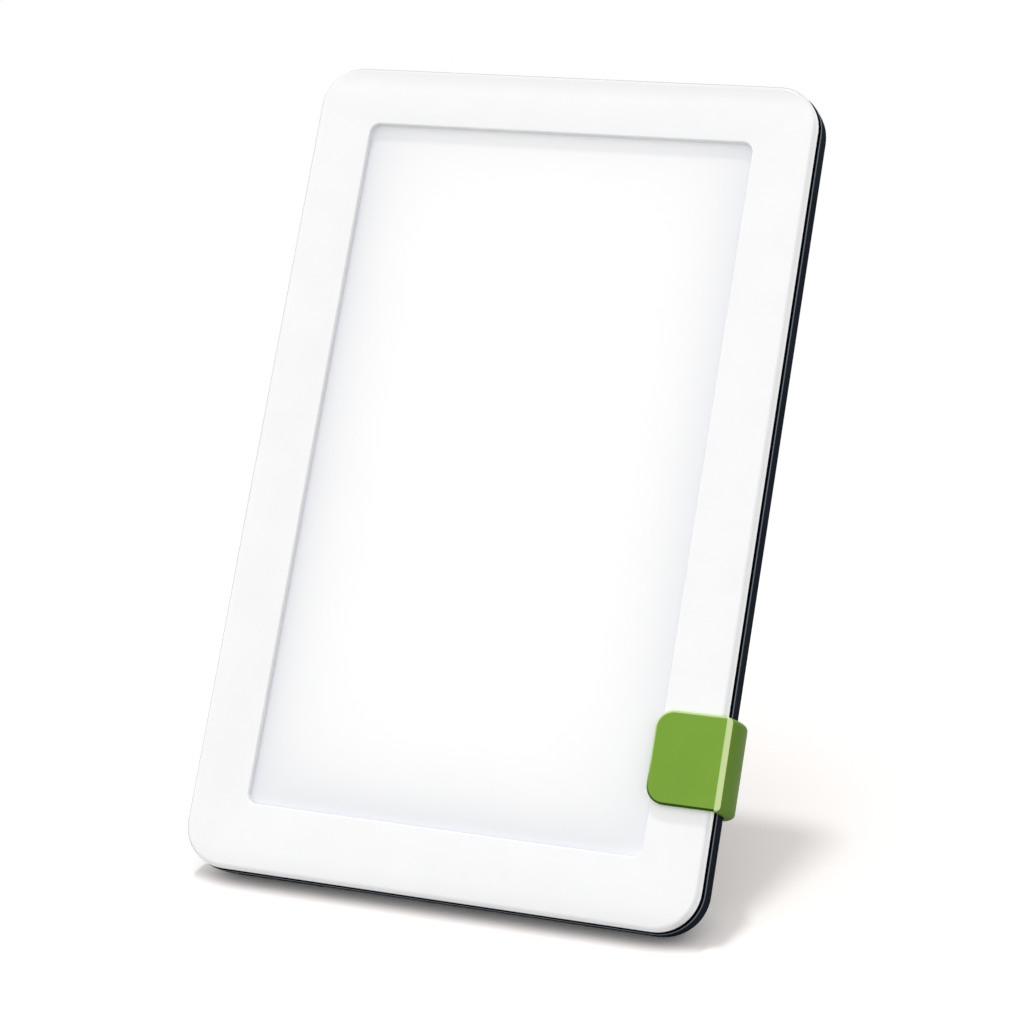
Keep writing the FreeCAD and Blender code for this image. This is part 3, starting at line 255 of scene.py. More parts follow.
class Graph:
    """The shader nodes of one material or world."""

    def __init__(self, tree: bpy.types.NodeTree) -> None:
        """Start with an empty tree."""
        self.tree = tree
        tree.nodes.clear()

    def add(self, kind: str, settings: dict[str, Any] | None = None,
            inputs: dict[Any, Any] | None = None) -> bpy.types.Node:
        """Add one node.

        Args:
            kind: The node's type.
            settings: Its properties, which are set first.
            inputs: Values, signals or tints for its sockets, by name or place.

        Returns:
            The node.
        """
        node = self.tree.nodes.new(kind)
        for name, setting in (settings or {}).items():
            setattr(node, name, setting)
        for key, entry in (inputs or {}).items():
            socket = node.inputs[key]
            if isinstance(entry, (Signal, Tint)):
                self.tree.links.new(entry.socket, socket)
            elif isinstance(entry, tuple) and socket.type == "RGBA":
                socket.default_value = (*entry, 1.0)
            else:
                socket.default_value = entry
        return node

    def output(self, kind: str, inputs: dict[Any, Any]) -> Tint:
        """Add one node and give its first output, such as a shader."""
        return Tint(self, self.add(kind, None, inputs).outputs[0])

    def mix(self, first: Any, second: Any, factor: Any) -> Tint:
        """Mix two colours.

        Args:
            first: The colour at factor 0.
            second: The colour at factor 1.
            factor: A signal or number.

        Returns:
            The mixed colour.
        """
        settings = {"data_type": "RGBA", "clamp_factor": True}
        node = self.add("ShaderNodeMix", settings, {0: factor, 6: first, 7: second})
        return Tint(self, node.outputs[2])

    def place(self) -> Tint:
        """The point on the surface, in the lamp's frame, in metres."""
        return Tint(self, self.add("ShaderNodeTexCoord").outputs["Object"])

    def head_place(self) -> tuple[Signal, Signal, Signal]:
        """The point in the head's own axes.

        Returns:
            How far across, up the panel and out of its front it is, in metres.
        """
        point = self.place()
        across, up, out = (
            point.dot(axis) - HEAD.origin.dot(axis) for axis in (HEAD.across, HEAD.up, HEAD.out)
        )
        return across, up, out

    def beyond_outline(self, across: Signal, up: Signal) -> Signal:
        """How far a point lies outside the white frame's rounded outline.

        Args:
            across: The point's place across the head.
            up: Its place up the head.

        Returns:
            The distance in metres, negative inside.
        """
        aside = (abs(across) - (HALF_WIDTH - CORNER)).larger(0.0)
        above = (abs(up - HEIGHT / 2) - (HEIGHT / 2 - CORNER)).larger(0.0)
        return (aside * aside + above * above).power(0.5) - CORNER

    def noise(self, size: float, detail: float = 2.0, where: Tint | None = None) -> Signal:
        """Soft noise.

        Args:
            size: About how large its features are, in metres.
            detail: How many finer layers it has.
            where: The vector that it follows, or none for the surface's own place.

        Returns:
            The noise, about 0.5.
        """
        inputs = {"Vector": where or self.place(), "Scale": 1.0 / size, "Detail": detail}
        return Signal(self, self.add("ShaderNodeTexNoise", None, inputs).outputs[0])

    def cells(self, size: float) -> Signal:
        """How far a point is from the middle of its cell, in a scatter of cells.

        Args:
            size: The cells' size in metres.

        Returns:
            The distance, in cells.
        """
        inputs = {"Vector": self.place(), "Scale": 1.0 / size}
        node = self.add("ShaderNodeTexVoronoi", None, inputs)
        return Signal(self, node.outputs["Distance"])


# --------------------------------------------------------------------------------- finishes


@dataclass
class Coat:
    """What a finish asks of the shader: what varies over the surface, and what doesn't."""

    varying: dict[str, Any]
    constant: dict[str, Any] = field(default_factory=dict)
    height: Signal | None = None
    relief: float = 0.0


@dataclass(frozen=True)
class Finish:
    """A named finish. Each kind of finish says how it is painted."""

    name: str

    def paint(self, graph: Graph) -> Coat:
        """Work out the finish's sockets on a graph."""
        raise NotImplementedError

    def material(self) -> bpy.types.Material:
        """The finish as a material, which is made once.

        Returns:
            The material.
        """
        made = bpy.data.materials.get(self.name)
        if made and made.get("finished"):
            return made
        made = bpy.data.materials.new(self.name)
        made["finished"] = True
        made.use_nodes = True
        graph = Graph(made.node_tree)
        coat = self.paint(graph)
        inputs = {**coat.constant, **coat.varying}
        if coat.height is not None:
            relief = {"Height": coat.height, "Distance": coat.relief, "Strength": 1.0}
            bump = graph.add("ShaderNodeBump", None, relief)
            inputs["Normal"] = Tint(graph, bump.outputs["Normal"])
        surface = graph.output("ShaderNodeBsdfPrincipled", inputs)
        graph.add("ShaderNodeOutputMaterial", None, {"Surface": surface})
        return made


@dataclass(frozen=True)
class MouldedPlastic(Finish):
    """Injection-moulded plastic: colour drift, mould grain, flow waves and handling marks."""

    colour: Colour
    roughness: float
    grain_size: float = 0.25 * MM
    grain_relief: float = 0.004 * MM
    drift: float = 0.04
    flow_size: float = 14.0 * MM
    smudge: float = 0.05
    sheen_level: float = 0.5
    drift_span: Span = (0.3, 0.7)
    smudge_size: float = 9.0 * MM
    smudge_span: Span = (0.45, 0.75)
    wave_height: float = 0.6
    hairline_size: float = 0.8 * MM
    hairline_run: Scale = (0.05, 1.0, 0.4)
    hairline_span: Span = (0.006, 0.0)
    hairline_depth: float = 0.4
    hairline_rough: float = 0.1
    patch_size: float = 20.0 * MM
    patch_span: Span = (0.5, 0.7)

    def colours(self, graph: Graph) -> Tint:
        """Mix two near shades that drift into each other.

        Args:
            graph: The graph of the finish's material.

        Returns:
            The plastic's colour, before any marks.
        """
        light = tuple(min(1.0, part * (1.0 + self.drift)) for part in self.colour)
        deep = tuple(part * (1.0 - self.drift) for part in self.colour)
        return graph.mix(deep, light, graph.noise(self.flow_size, 3.0).rise(*self.drift_span))

    def paint(self, graph: Graph) -> Coat:
        """Work out the finish's sockets on a graph.

        Args:
            graph: The graph of the finish's material.

        Returns:
            What the sockets take.
        """
        smudges = graph.noise(self.smudge_size, 4.0).rise(*self.smudge_span)
        along = graph.place().stretched(self.hairline_run)
        streaks = abs(graph.noise(self.hairline_size, 1.0, along) - CENTRE)
        hairline = streaks.rise(*self.hairline_span)
        hairline = hairline * graph.noise(self.patch_size).rise(*self.patch_span)
        grain = graph.noise(self.grain_size, 2.0)
        waves = graph.noise(self.flow_size, 1.0)
        rough = self.roughness + self.smudge * smudges + self.hairline_rough * hairline
        return Coat(
            {"Base Color": self.colours(graph), "Roughness": rough},
            {"Specular IOR Level": self.sheen_level, "IOR": PLASTIC_IOR},
            grain + waves * self.wave_height - hairline * self.hairline_depth,
            self.grain_relief,
        )


@dataclass(frozen=True)
class ClipPlastic(MouldedPlastic):
    """The stand's plastic: painted highlight on the bevel and upper arrises, painted shade on lower ones."""

    # Painted highlight: a pale green along the clip's bevel, where light is reflected.
    painted_bevel_highlight: Colour = (0.74, 0.87, 0.42)
    line_start: float = 75.62 * MM
    line_end: float = 77.02 * MM
    line_front: float = 0.85 * MM
    # Painted highlight on the flap's upper arrises.
    painted_arris_highlight: Colour = (0.50, 0.66, 0.25)
    # Painted shade on the flap's lower arrises.
    deep: Colour = (0.035, 0.080, 0.009)
    flap_left: float = 56.3 * MM
    flap_bottom: float = 33.2 * MM
    flap_top: float = 58.4 * MM
    corner: float = 5.0 * MM
    arris: float = 0.5 * MM
    arris_span: Span = (-0.15, 0.15)
    line_soft: float = 0.03 * MM

    def flap_middle(self) -> float:
        """How far up the head the flap's middle is."""
        return (self.flap_top + self.flap_bottom) / 2

    def arris_reach(self, across: Signal, up: Signal) -> Signal:
        """How far a point of the flap lies beyond the flat that its arris leaves.

        Args:
            across: The point's place across the head.
            up: Its place up the head.

        Returns:
            0 on the flat, and 1 on the flap's outline.
        """
        aside = (self.flap_left + self.corner - across).larger(0.0)
        straight = (self.flap_top - self.flap_bottom) / 2 - self.corner
        beyond = (abs(up - self.flap_middle()) - straight).larger(0.0)
        away = (aside * aside + beyond * beyond).power(0.5)
        return (away - (self.corner - self.arris)) / self.arris

    def colours(self, graph: Graph) -> Tint:
        """Paint highlights on the bevel and the flap's upper arrises, and shade on its lower ones, over the green.

        Args:
            graph: The graph of the finish's material.

        Returns:
            The plastic's colour.
        """
        across, up, out = graph.head_place()
        soft, middle = self.line_soft, self.flap_middle()
        beside = across.rise(self.line_start - soft, self.line_start + soft)
        within = across.rise(self.line_end + soft, self.line_end - soft)
        in_front = out.rise(self.line_front - soft, self.line_front + soft)
        rim = self.arris_reach(across, up).rise(*self.arris_span)
        rim = rim * across.rise(self.line_start, self.line_start - soft) * in_front
        lower = up.rise(middle - self.corner, self.flap_bottom + 2.0 * self.arris)
        upper = up.rise(middle - 1.4 * self.corner, middle)
        # Painted highlight on the flap's upper arrises, then painted shade on its lower ones.
        tint = super().colours(graph).towards(self.painted_arris_highlight, rim * upper)
        tint = tint.towards(self.deep, rim * lower)
        # Painted highlight along the bevel.
        return tint.towards(self.painted_bevel_highlight, beside * within * in_front)


@dataclass(frozen=True)
class FramePlastic(MouldedPlastic):
    """The white frame's plastic: painted glow on its right and bottom sides, painted shade on its left and top
    edges and near its ends.
    """

    # Painted glow: the right and bottom sides emit a little light, which brightens them.
    painted_glow_level: float = 0.28
    side_front: Span = (-0.1 * MM, -1.2 * MM)
    side_back: Span = (-4.2 * MM, -3.9 * MM)
    outer_span: Span = (-2.2 * MM, -1.6 * MM)
    bottom_band: float = 0.6 * CORNER
    # Painted shade on the left and top edges.
    grey: Colour = (0.56, 0.57, 0.60)
    arris: float = -0.34 * MM
    arris_soft: float = 0.08 * MM
    # Painted shade towards the top and bottom ends.
    painted_end_shade: Colour = (0.84, 0.84, 0.845)
    end_reach: float = 7.0 * MM
    bottom_share: float = 0.4

    def paint(self, graph: Graph) -> Coat:
        """Work out the finish's sockets on a graph.

        Args:
            graph: The graph of the finish's material.

        Returns:
            What the sockets take.
        """
        coat = super().paint(graph)
        across, up, out = graph.head_place()
        side = out.rise(*self.side_front) * out.rise(*self.side_back)
        outer = graph.beyond_outline(across, up).rise(*self.outer_span)
        right = across.rise(HALF_WIDTH - CORNER, HALF_WIDTH)
        near = right.larger(up.rise(self.bottom_band, 0.0))
        # Painted glow on the right and bottom sides.
        lit = side * outer * near
        # Painted shade on the left and top edges.
        arris = out.rise(self.arris + self.arris_soft, self.arris) * outer * (1.0 - near)
        coat.varying["Emission Color"] = graph.mix(BLACK, WHITE, lit)
        coat.constant["Emission Strength"] = self.painted_glow_level
        # Painted shade towards the top end, and less towards the bottom.
        top = up.rise(HEIGHT - self.end_reach, HEIGHT)
        ends = top + up.rise(self.end_reach, 0.0) * self.bottom_share
        base = coat.varying["Base Color"].towards(self.painted_end_shade, ends)
        coat.varying["Base Color"] = base.towards(self.grey, arris)
        return coat


@dataclass(frozen=True)
class ShellPlastic(MouldedPlastic):
    """The rear shell's plastic: satin sides, a painted highlight on the rim's arris, painted shade in the groove,
    a polished back.
    """

    polish: float = 0.6
    polish_roughness: float = 0.12
    satin_to: float = -12.5 * MM
    polished_from: float = -18.5 * MM
    # Painted highlight on the rim's arris.
    painted_arris_highlight: Colour = (0.27, 0.320, 0.375)
    # Painted shade in the groove between the frame and the rim.
    groove: Colour = (0.002, 0.003, 0.004)
    rim_from: float = 0.34 * MM
    rim_depth: float = -5.4 * MM
    rim_soft: float = 0.05 * MM

    def colours(self, graph: Graph) -> Tint:
        """Paint shade into the groove and a highlight on the rim's arris, over the drifting dark colour.

        Args:
            graph: The graph of the finish's material.

        Returns:
            The plastic's colour.
        """
        across, up, out = graph.head_place()
        beyond = graph.beyond_outline(across, up)
        soft = self.rim_soft
        in_front = out.rise(self.rim_depth - 2.0 * soft, self.rim_depth + soft)
        # Painted highlight on the rim's arris, and painted shade in the groove inside it.
        arris = beyond.rise(self.rim_from - soft, self.rim_from + soft) * in_front
        groove = beyond.rise(self.rim_from + soft, self.rim_from - soft) * in_front
        return super().colours(graph).towards(self.painted_arris_highlight, arris).towards(self.groove, groove)

    def paint(self, graph: Graph) -> Coat:
        """Work out the finish's sockets on a graph.

        Args:
            graph: The graph of the finish's material.

        Returns:
            What the sockets take.
        """
        coat = super().paint(graph)
        _, _, out = graph.head_place()
        coat.varying["Coat Weight"] = out.rise(self.satin_to, self.polished_from) * self.polish
        coat.constant["Coat Roughness"] = self.polish_roughness
        return coat


@dataclass(frozen=True)
class OpalPanel(Finish):
    """The lit diffuser: its glow is bright in the middle and greyer, then bluer, towards the edges, where its
    colour has painted shade.
    """

    half_width: float = 57.5 * MM
    bottom: float = 18.7 * MM
    top: float = 218.7 * MM
    edge_reach: float = 2.5 * MM
    glow_reach: float = 10.5 * MM
    bottom_share: float = 1.3
    top_share: float = 0.55
    opal: Colour = (0.85, 0.85, 0.85)
    # Painted shade: the diffuser's colour darkens to this near the window's edges.
    opal_painted_shade: Colour = (0.70, 0.705, 0.72)
    opal_share: float = 0.8
    glow_dim: Colour = (0.60, 0.61, 0.63)
    edge_tint: Colour = (0.40, 0.43, 0.60)
    strength: float = 0.16
    roughness: float = 0.42
    mottle_size: float = 22.0 * MM
    mottle_level: float = 0.03
    mottle_span: Span = (0.2, 0.8)
    frost_size: float = 0.18 * MM
    frost_relief: float = 0.003 * MM
    frost_rough: float = 0.12

    def edge_shade(self, graph: Graph, reach: float) -> Signal:
        """How near the window's edge a point is.

        Args:
            graph: The graph.
            reach: The distance over which the shade fades, in metres.

        Returns:
            About 1 at the edge, falling to 0 inwards, and strongest in the lower corners.
        """
        across, up, _ = graph.head_place()
        side = ((self.half_width - abs(across)).larger(0.0) / reach).decay()
        low = ((up - self.bottom).larger(0.0) / reach).decay() * self.bottom_share
        high = ((self.top - up).larger(0.0) / reach).decay() * self.top_share
        end = low + high
        return side + end - side * end

    def paint(self, graph: Graph) -> Coat:
        """Work out the finish's sockets on a graph.

        Args:
            graph: The graph of the finish's material.

        Returns:
            What the sockets take.
        """
        near = self.edge_shade(graph, self.edge_reach)
        wide = self.edge_shade(graph, self.glow_reach)
        mottle = graph.noise(self.mottle_size, 1.0).rise(*self.mottle_span) * self.mottle_level
        frost = graph.noise(self.frost_size, 2.0)
        # Painted shade towards the window's edges, with a random mottle.
        base = graph.mix(self.opal, self.opal_painted_shade, wide * self.opal_share + mottle)
        glow = graph.mix(WHITE, self.glow_dim, wide + mottle).towards(self.edge_tint, near)
        rough = self.roughness + frost * self.frost_rough
        return Coat(
            {"Base Color": base, "Emission Color": glow, "Roughness": rough},
            {"Emission Strength": self.strength, "IOR": ACRYLIC_IOR},
            frost,
            self.frost_relief,
        )


@dataclass(frozen=True)
class ClearSheet(Finish):
    """A clear layer of the light panel, with fine prisms or printed dots."""

    colour: Colour
    alpha: float
    pitch: float
    relief: float
    dotted: bool
    dot_edge: Span = (0.32, 0.24)
    frosted: Colour = (0.97, 0.97, 0.97)
    frosted_share: float = 0.7
    frosted_alpha: float = 0.2
    roughness: float = 0.08
    frosted_rough: float = 0.2

    def paint(self, graph: Graph) -> Coat:
        """Work out the finish's sockets on a graph.

        Args:
            graph: The graph of the finish's material.

        Returns:
            What the sockets take.
        """
        _, up, _ = graph.head_place()
        if self.dotted:
            pattern = graph.cells(self.pitch).rise(*self.dot_edge)
        else:
            pattern = abs((up / self.pitch) % 1.0 - CENTRE) * 2.0
        tint = graph.mix(self.colour, self.frosted, pattern * self.frosted_share)
        alpha = self.alpha + pattern * self.frosted_alpha
        rough = self.roughness + self.frosted_rough * pattern
        return Coat(
            {"Base Color": tint, "Alpha": alpha, "Roughness": rough},
            {"IOR": ACRYLIC_IOR},
            pattern,
            self.relief,
        )


@dataclass(frozen=True)
class RolledMetal(Finish):
    """Sheet or bar metal: directional rolling or turning lines, and a faint mottle."""

    colour: Colour
    roughness: float
    lines: Scale = (0.04, 1.0, 1.0)
    line_size: float = 0.12 * MM
    mottle: float = 0.12
    line_share: float = 0.6
    line_rough: float = 0.12
    line_relief: float = 0.003 * MM
    spangle_size: float = 2.2 * MM
    spangle_span: Span = (0.0, 0.8)
    spangle_share: float = 0.4
    spangle_rough: float = 0.05

    def paint(self, graph: Graph) -> Coat:
        """Work out the finish's sockets on a graph.

        Args:
            graph: The graph of the finish's material.

        Returns:
            What the sockets take.
        """
        lines = graph.noise(self.line_size, 2.0, graph.place().stretched(self.lines))
        spangle = graph.cells(self.spangle_size).rise(*self.spangle_span)
        deep = tuple(part * (1.0 - self.mottle) for part in self.colour)
        shade = lines * self.line_share + spangle * self.spangle_share
        tint = graph.mix(deep, self.colour, shade)
        rough = self.roughness + lines * self.line_rough + spangle * self.spangle_rough
        varying = {"Base Color": tint, "Roughness": rough}
        return Coat(varying, {"Metallic": 1.0}, lines, self.line_relief)


@dataclass(frozen=True)
class CircuitBoard(Finish):
    """Solder mask over copper tracks, with tinned pads."""

    mask: Colour
    track: Colour
    pad: Colour = (0.62, 0.62, 0.60)
    pad_spacing: float = 3.1 * MM
    pad_edge: Span = (0.2, 0.16)
    pad_metal: float = 0.9
    roughness: float = 0.34
    pad_polish: float = 0.1
    pitch: float = 1.9 * MM
    lane_edge: Span = (0.34, 0.38)
    bend_size: float = 9.0 * MM
    bend_span: Span = (0.48, 0.52)
    run_size: float = 6.0 * MM
    run_span: Span = (0.44, 0.48)
    relief: float = 0.03 * MM

    def paint(self, graph: Graph) -> Coat:
        """Work out the finish's sockets on a graph.

        Args:
            graph: The graph of the finish's material.

        Returns:
            What the sockets take.
        """
        across, up, _ = graph.head_place()
        slant = graph.noise(self.bend_size, 0.0).rise(*self.bend_span)
        lane = abs(((across + up * slant) / self.pitch) % 1.0 - CENTRE)
        tracks = lane.rise(*self.lane_edge) * graph.noise(self.run_size).rise(*self.run_span)
        pads = graph.cells(self.pad_spacing).rise(*self.pad_edge)
        tint = graph.mix(self.mask, self.track, tracks).towards(self.pad, pads)
        metal = pads * self.pad_metal
        rough = self.roughness - pads * self.pad_polish
        return Coat(
            {"Base Color": tint, "Metallic": metal, "Roughness": rough},
            {"IOR": PLASTIC_IOR},
            tracks + pads,
            self.relief,
        )


@dataclass(frozen=True)
class LedPackage(Finish):
    """White LED packages with a yellow phosphor window in each."""

    window: Colour = (0.93, 0.79, 0.22)
    body: Colour = (0.90, 0.89, 0.85)
    first: float = 20.1 * MM
    pitch: float = 6.8 * MM
    window_edge: Span = (1.1 * MM, 0.9 * MM)
    window_share: float = 0.85
    roughness: float = 0.5
    window_polish: float = 0.25
    grain_size: float = 0.1 * MM
    grain_relief: float = 0.01 * MM
    grain_share: float = 0.15

    def paint(self, graph: Graph) -> Coat:
        """Work out the finish's sockets on a graph.

        Args:
            graph: The graph of the finish's material.

        Returns:
            What the sockets take.
        """
        _, up, _ = graph.head_place()
        along = (up - self.first + self.pitch / 2) % self.pitch
        inside = abs(along - self.pitch / 2).rise(*self.window_edge)
        grain = graph.noise(self.grain_size, 2.0)
        shade = inside * (self.window_share + grain * self.grain_share)
        tint = graph.mix(self.body, self.window, shade)
        rough = self.roughness - inside * self.window_polish
        return Coat({"Base Color": tint, "Roughness": rough}, {}, grain, self.grain_relief)


@dataclass(frozen=True)
class SoftRubber(Finish):
    """Matt rubber: fine pebble grain, a little bloom and rubbed patches."""

    colour: Colour
    bloom: Colour
    pebble: float = 0.35 * MM
    pebble_share: float = 0.2
    pebble_relief: float = 0.03 * MM
    bloom_size: float = 5.0 * MM
    bloom_span: Span = (0.5, 0.8)
    bloom_share: float = 0.5
    roughness: float = 0.78
    rubbed: float = 0.18
    rubbed_size: float = 8.0 * MM
    rubbed_span: Span = (0.55, 0.75)

    def paint(self, graph: Graph) -> Coat:
        """Work out the finish's sockets on a graph.

        Args:
            graph: The graph of the finish's material.

        Returns:
            What the sockets take.
        """
        pebbles = graph.cells(self.pebble)
        bloom = graph.noise(self.bloom_size, 4.0).rise(*self.bloom_span)
        shade = bloom * self.bloom_share + pebbles * self.pebble_share
        tint = graph.mix(self.colour, self.bloom, shade)
        patches = graph.noise(self.rubbed_size).rise(*self.rubbed_span)
        varying = {"Base Color": tint, "Roughness": self.roughness - self.rubbed * patches}
        return Coat(varying, {"IOR": RUBBER_IOR}, pebbles, self.pebble_relief)


GREEN: Colour = (0.200, 0.374, 0.049)
BLUE_BLACK: Colour = (0.031, 0.036, 0.050)

FINISHES: dict[str, Finish] = {
    "white_gloss_plastic": FramePlastic(
        "white_gloss_plastic", (0.938, 0.940, 0.948), 0.16,
        grain_size=0.5 * MM, grain_relief=0.0015 * MM, drift=0.008, smudge=0.03,
    ),
    "opal_panel": OpalPanel("opal_panel"),
    "clear_film": ClearSheet(
        "clear_film", (0.92, 0.94, 0.97), alpha=0.4, pitch=0.6 * MM, relief=0.05 * MM, dotted=False
    ),
    "clear_acrylic": ClearSheet(
        "clear_acrylic", (0.93, 0.96, 0.97),
        alpha=0.35, pitch=1.6 * MM, relief=0.02 * MM, dotted=True,
    ),
    "white_film": MouldedPlastic("white_film", (0.93, 0.93, 0.93), 0.6, grain_size=0.1 * MM),
    "aluminium_sheet": RolledMetal("aluminium_sheet", (0.74, 0.75, 0.77), 0.34),
    "strip_board": CircuitBoard("strip_board", (0.86, 0.87, 0.86), (0.74, 0.76, 0.75)),
    "led_resin": LedPackage("led_resin"),
    "green_board": CircuitBoard("green_board", (0.012, 0.13, 0.05), (0.03, 0.24, 0.09)),
    "lead_sleeve": SoftRubber(
        "lead_sleeve", (0.030, 0.030, 0.034), (0.07, 0.07, 0.075), pebble=0.2 * MM
    ),
    "black_component": MouldedPlastic(
        "black_component", (0.022, 0.022, 0.025), 0.48, grain_relief=0.01 * MM
    ),
    "cream_plug": MouldedPlastic("cream_plug", (0.80, 0.76, 0.63), 0.45),
    "plated_contact": RolledMetal("plated_contact", (0.86, 0.80, 0.66), 0.2, mottle=0.05),
    "dark_shell_plastic": ShellPlastic(
        "dark_shell_plastic", BLUE_BLACK, 0.42,
        grain_size=0.3 * MM, grain_relief=0.0018 * MM, drift=0.12, smudge=0.06, sheen_level=0.0,
    ),
    "grey_button_plastic": MouldedPlastic("grey_button_plastic", (0.075, 0.085, 0.10), 0.38),
    "zinc_steel": RolledMetal(
        "zinc_steel", (0.66, 0.67, 0.70), 0.26, lines=(1.0, 1.0, 0.08), line_size=0.1 * MM
    ),
    "green_plastic": ClipPlastic(
        "green_plastic", GREEN, 0.42,
        grain_size=0.22 * MM, grain_relief=0.003 * MM, drift=0.02, sheen_level=0.02,
    ),
    "black_rubber": SoftRubber("black_rubber", (0.016, 0.016, 0.018), (0.05, 0.05, 0.052)),
    "nylon": MouldedPlastic("nylon", (0.82, 0.82, 0.78), 0.42),
}


# ------------------------------------------------------------------------------------ pieces


SLOT_OF: dict[str, str] = {
    part["node"]: part["material_slot"] for part in frame["record"]["subparts"]
}


def dress_cad() -> None:
    """Give every node of the frame the finish of its slot."""
    for node, thing in frame["nodes"].items():
        finish = FINISHES[SLOT_OF[node]]
        if not thing.material_slots:
            thing.data.materials.append(None)
        for slot in thing.material_slots:
            slot.material = finish.material()


@dataclass(frozen=True)
class SubAssembly:
    """Pieces that ride on one body."""

    body: ClassVar[Body]
    crease: float = 32.0

    def build(self) -> None:
        """Make every piece of the sub-assembly."""
        raise NotImplementedError

    def adopt(self, name: str, shape: bmesh.types.BMesh, slot: str) -> bpy.types.Object:
        """Turn a finished shape into a dressed piece.

        Args:
            name: The piece's name.
            shape: Its shape, in the lamp's frame, which is freed.
            slot: The material slot that it takes its finish from.

        Returns:
            The piece, which rides on the sub-assembly's body.
        """
        for face in shape.faces:
            face.smooth = True
        for edge in shape.edges:
            edge.smooth = edge.calc_face_angle(0.0) < math.radians(self.crease)
        mesh = bpy.data.meshes.new(name)
        shape.to_mesh(mesh)
        shape.free()
        if "custom_normal" in mesh.attributes:
            mesh.attributes.remove(mesh.attributes["custom_normal"])
        piece = bpy.data.objects.new(name, mesh)
        bpy.context.scene.collection.objects.link(piece)
        mesh.materials.append(FINISHES[slot].material())
        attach(piece, self.body.value)
        LOG.info("%s on %s: %d faces", name, self.body.value, len(mesh.polygons))
        return piece

    def soften(self, node: str, arris: float, segments: int = 2) -> bpy.types.Object:
        """Round a rigid part's arrises, as moulding and tumbling leave them.

        Args:
            node: The CAD node that the piece stands for.
            arris: How far the rounding reaches along each face, in metres.
            segments: How many steps the rounding has.

        Returns:
            The piece, which stands for the node.
        """
        shape = bmesh.new()
        shape.from_mesh(frame["nodes"][node].data)
        bmesh.ops.remove_doubles(shape, verts=shape.verts, dist=MERGE_DISTANCE)
        bmesh.ops.dissolve_limit(
            shape, angle_limit=FLAT_ANGLE, verts=shape.verts, edges=shape.edges, delimit=set()
        )
        piece = self.adopt(f"{node}_finished", shape, SLOT_OF[node])
        bevel = piece.modifiers.new("arrises", "BEVEL")
        bevel.width = arris
        bevel.segments = segments
        bevel.limit_method = "ANGLE"
        bevel.angle_limit = math.radians(self.crease)
        bevel.harden_normals = True
        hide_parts(node)
        return piece


@dataclass(frozen=True)
class LampHead(SubAssembly):
    """The head's case: white frame, dark shell, screws, soles and inlet."""

    body: ClassVar[Body] = Body.HEAD
    moulded_arris: float = 0.12 * MM
    shell_arris: float = 0.15 * MM
    screw_arris: float = 0.12 * MM

    def build(self) -> None:
        """Make every piece of the case."""
        self.soften("front_frame", self.moulded_arris)
        self.soften("rear_shell", self.shell_arris)
        self.soften("case_screws", self.screw_arris)
        self.soften("power_jack", self.moulded_arris)
        for side in ("left", "right"):
            self.soften(f"bottom_foot_{side}", self.shell_arris)


@dataclass(frozen=True)
class PushButton(SubAssembly):
    """The one button, with a raised ring and bar that say on and off."""

    body: ClassVar[Body] = Body.BUTTON
    arris: float = 0.1 * MM
    dish_floor: float = 0.3 * MM
    ring_radius: float = 2.1 * MM
    line_width: float = 0.42 * MM
    line_height: float = 0.16 * MM
    line_root: float = 0.1 * MM
    ring_gap: float = 72.0
    ring_steps: int = 48
    bar_bottom: float = 0.5 * MM
    bar_top: float = 3.0 * MM

    def build(self) -> None:
        """Make the cap and its symbol."""
        self.soften("power_button", self.arris)
        self.symbol()

    def face(self) -> tuple[float, float, float]:
        """Find the cap's outer face.

        Returns:
            Its middle across and up the head, and how far out of the front it is.
        """
        corners = [HEAD.local(vertex.co) for vertex in frame["nodes"]["power_button"].data.vertices]
        outermost = min(corner.z for corner in corners)
        across, up = (
            (min(corner[axis] for corner in corners) + max(corner[axis] for corner in corners)) / 2
            for axis in (0, 1)
        )
        return across, up, outermost

    def symbol(self) -> bpy.types.Object:
        """A ring that is open at the top, and a bar in the opening.

        Returns:
            The piece.
        """
        across, up, outermost = self.face()
        floor = outermost + self.dish_floor
        shape = bmesh.new()
        inner = self.ring_radius - self.line_width / 2
        outer = self.ring_radius + self.line_width / 2
        low, high = floor + self.line_root, floor - self.line_height
        start = Matrix.Rotation(math.radians(TOP_OF_RING + self.ring_gap / 2), 4, "Z")
        corners = [shape.verts.new(start @ Vector((x, 0.0, z))) for x, z in (
            (inner, low), (outer, low), (outer, high), (inner, high)
        )]
        section = [shape.edges.new((corners[n - 1], corners[n])) for n in range(len(corners))]
        bmesh.ops.spin(
            shape, geom=[*section, *corners], cent=(0.0, 0.0, 0.0), axis=(0.0, 0.0, 1.0),
            angle=math.radians(FULL_TURN - self.ring_gap), steps=self.ring_steps,
            use_duplicate=False,
        )
        bmesh.ops.holes_fill(shape, edges=[edge for edge in shape.edges if edge.is_boundary])
        length = self.bar_top - self.bar_bottom
        place = Matrix.Translation((0.0, (self.bar_top + self.bar_bottom) / 2, (low + high) / 2))
        size = Matrix.Diagonal((self.line_width, length, low - high, 1.0))
        bmesh.ops.create_cube(shape, size=1.0, matrix=place @ size)
        bmesh.ops.recalc_face_normals(shape, faces=shape.faces)
        shape.transform(HEAD.matrix() @ Matrix.Translation((across, up, 0.0)))
        return self.adopt("button_symbol", shape, "nylon")


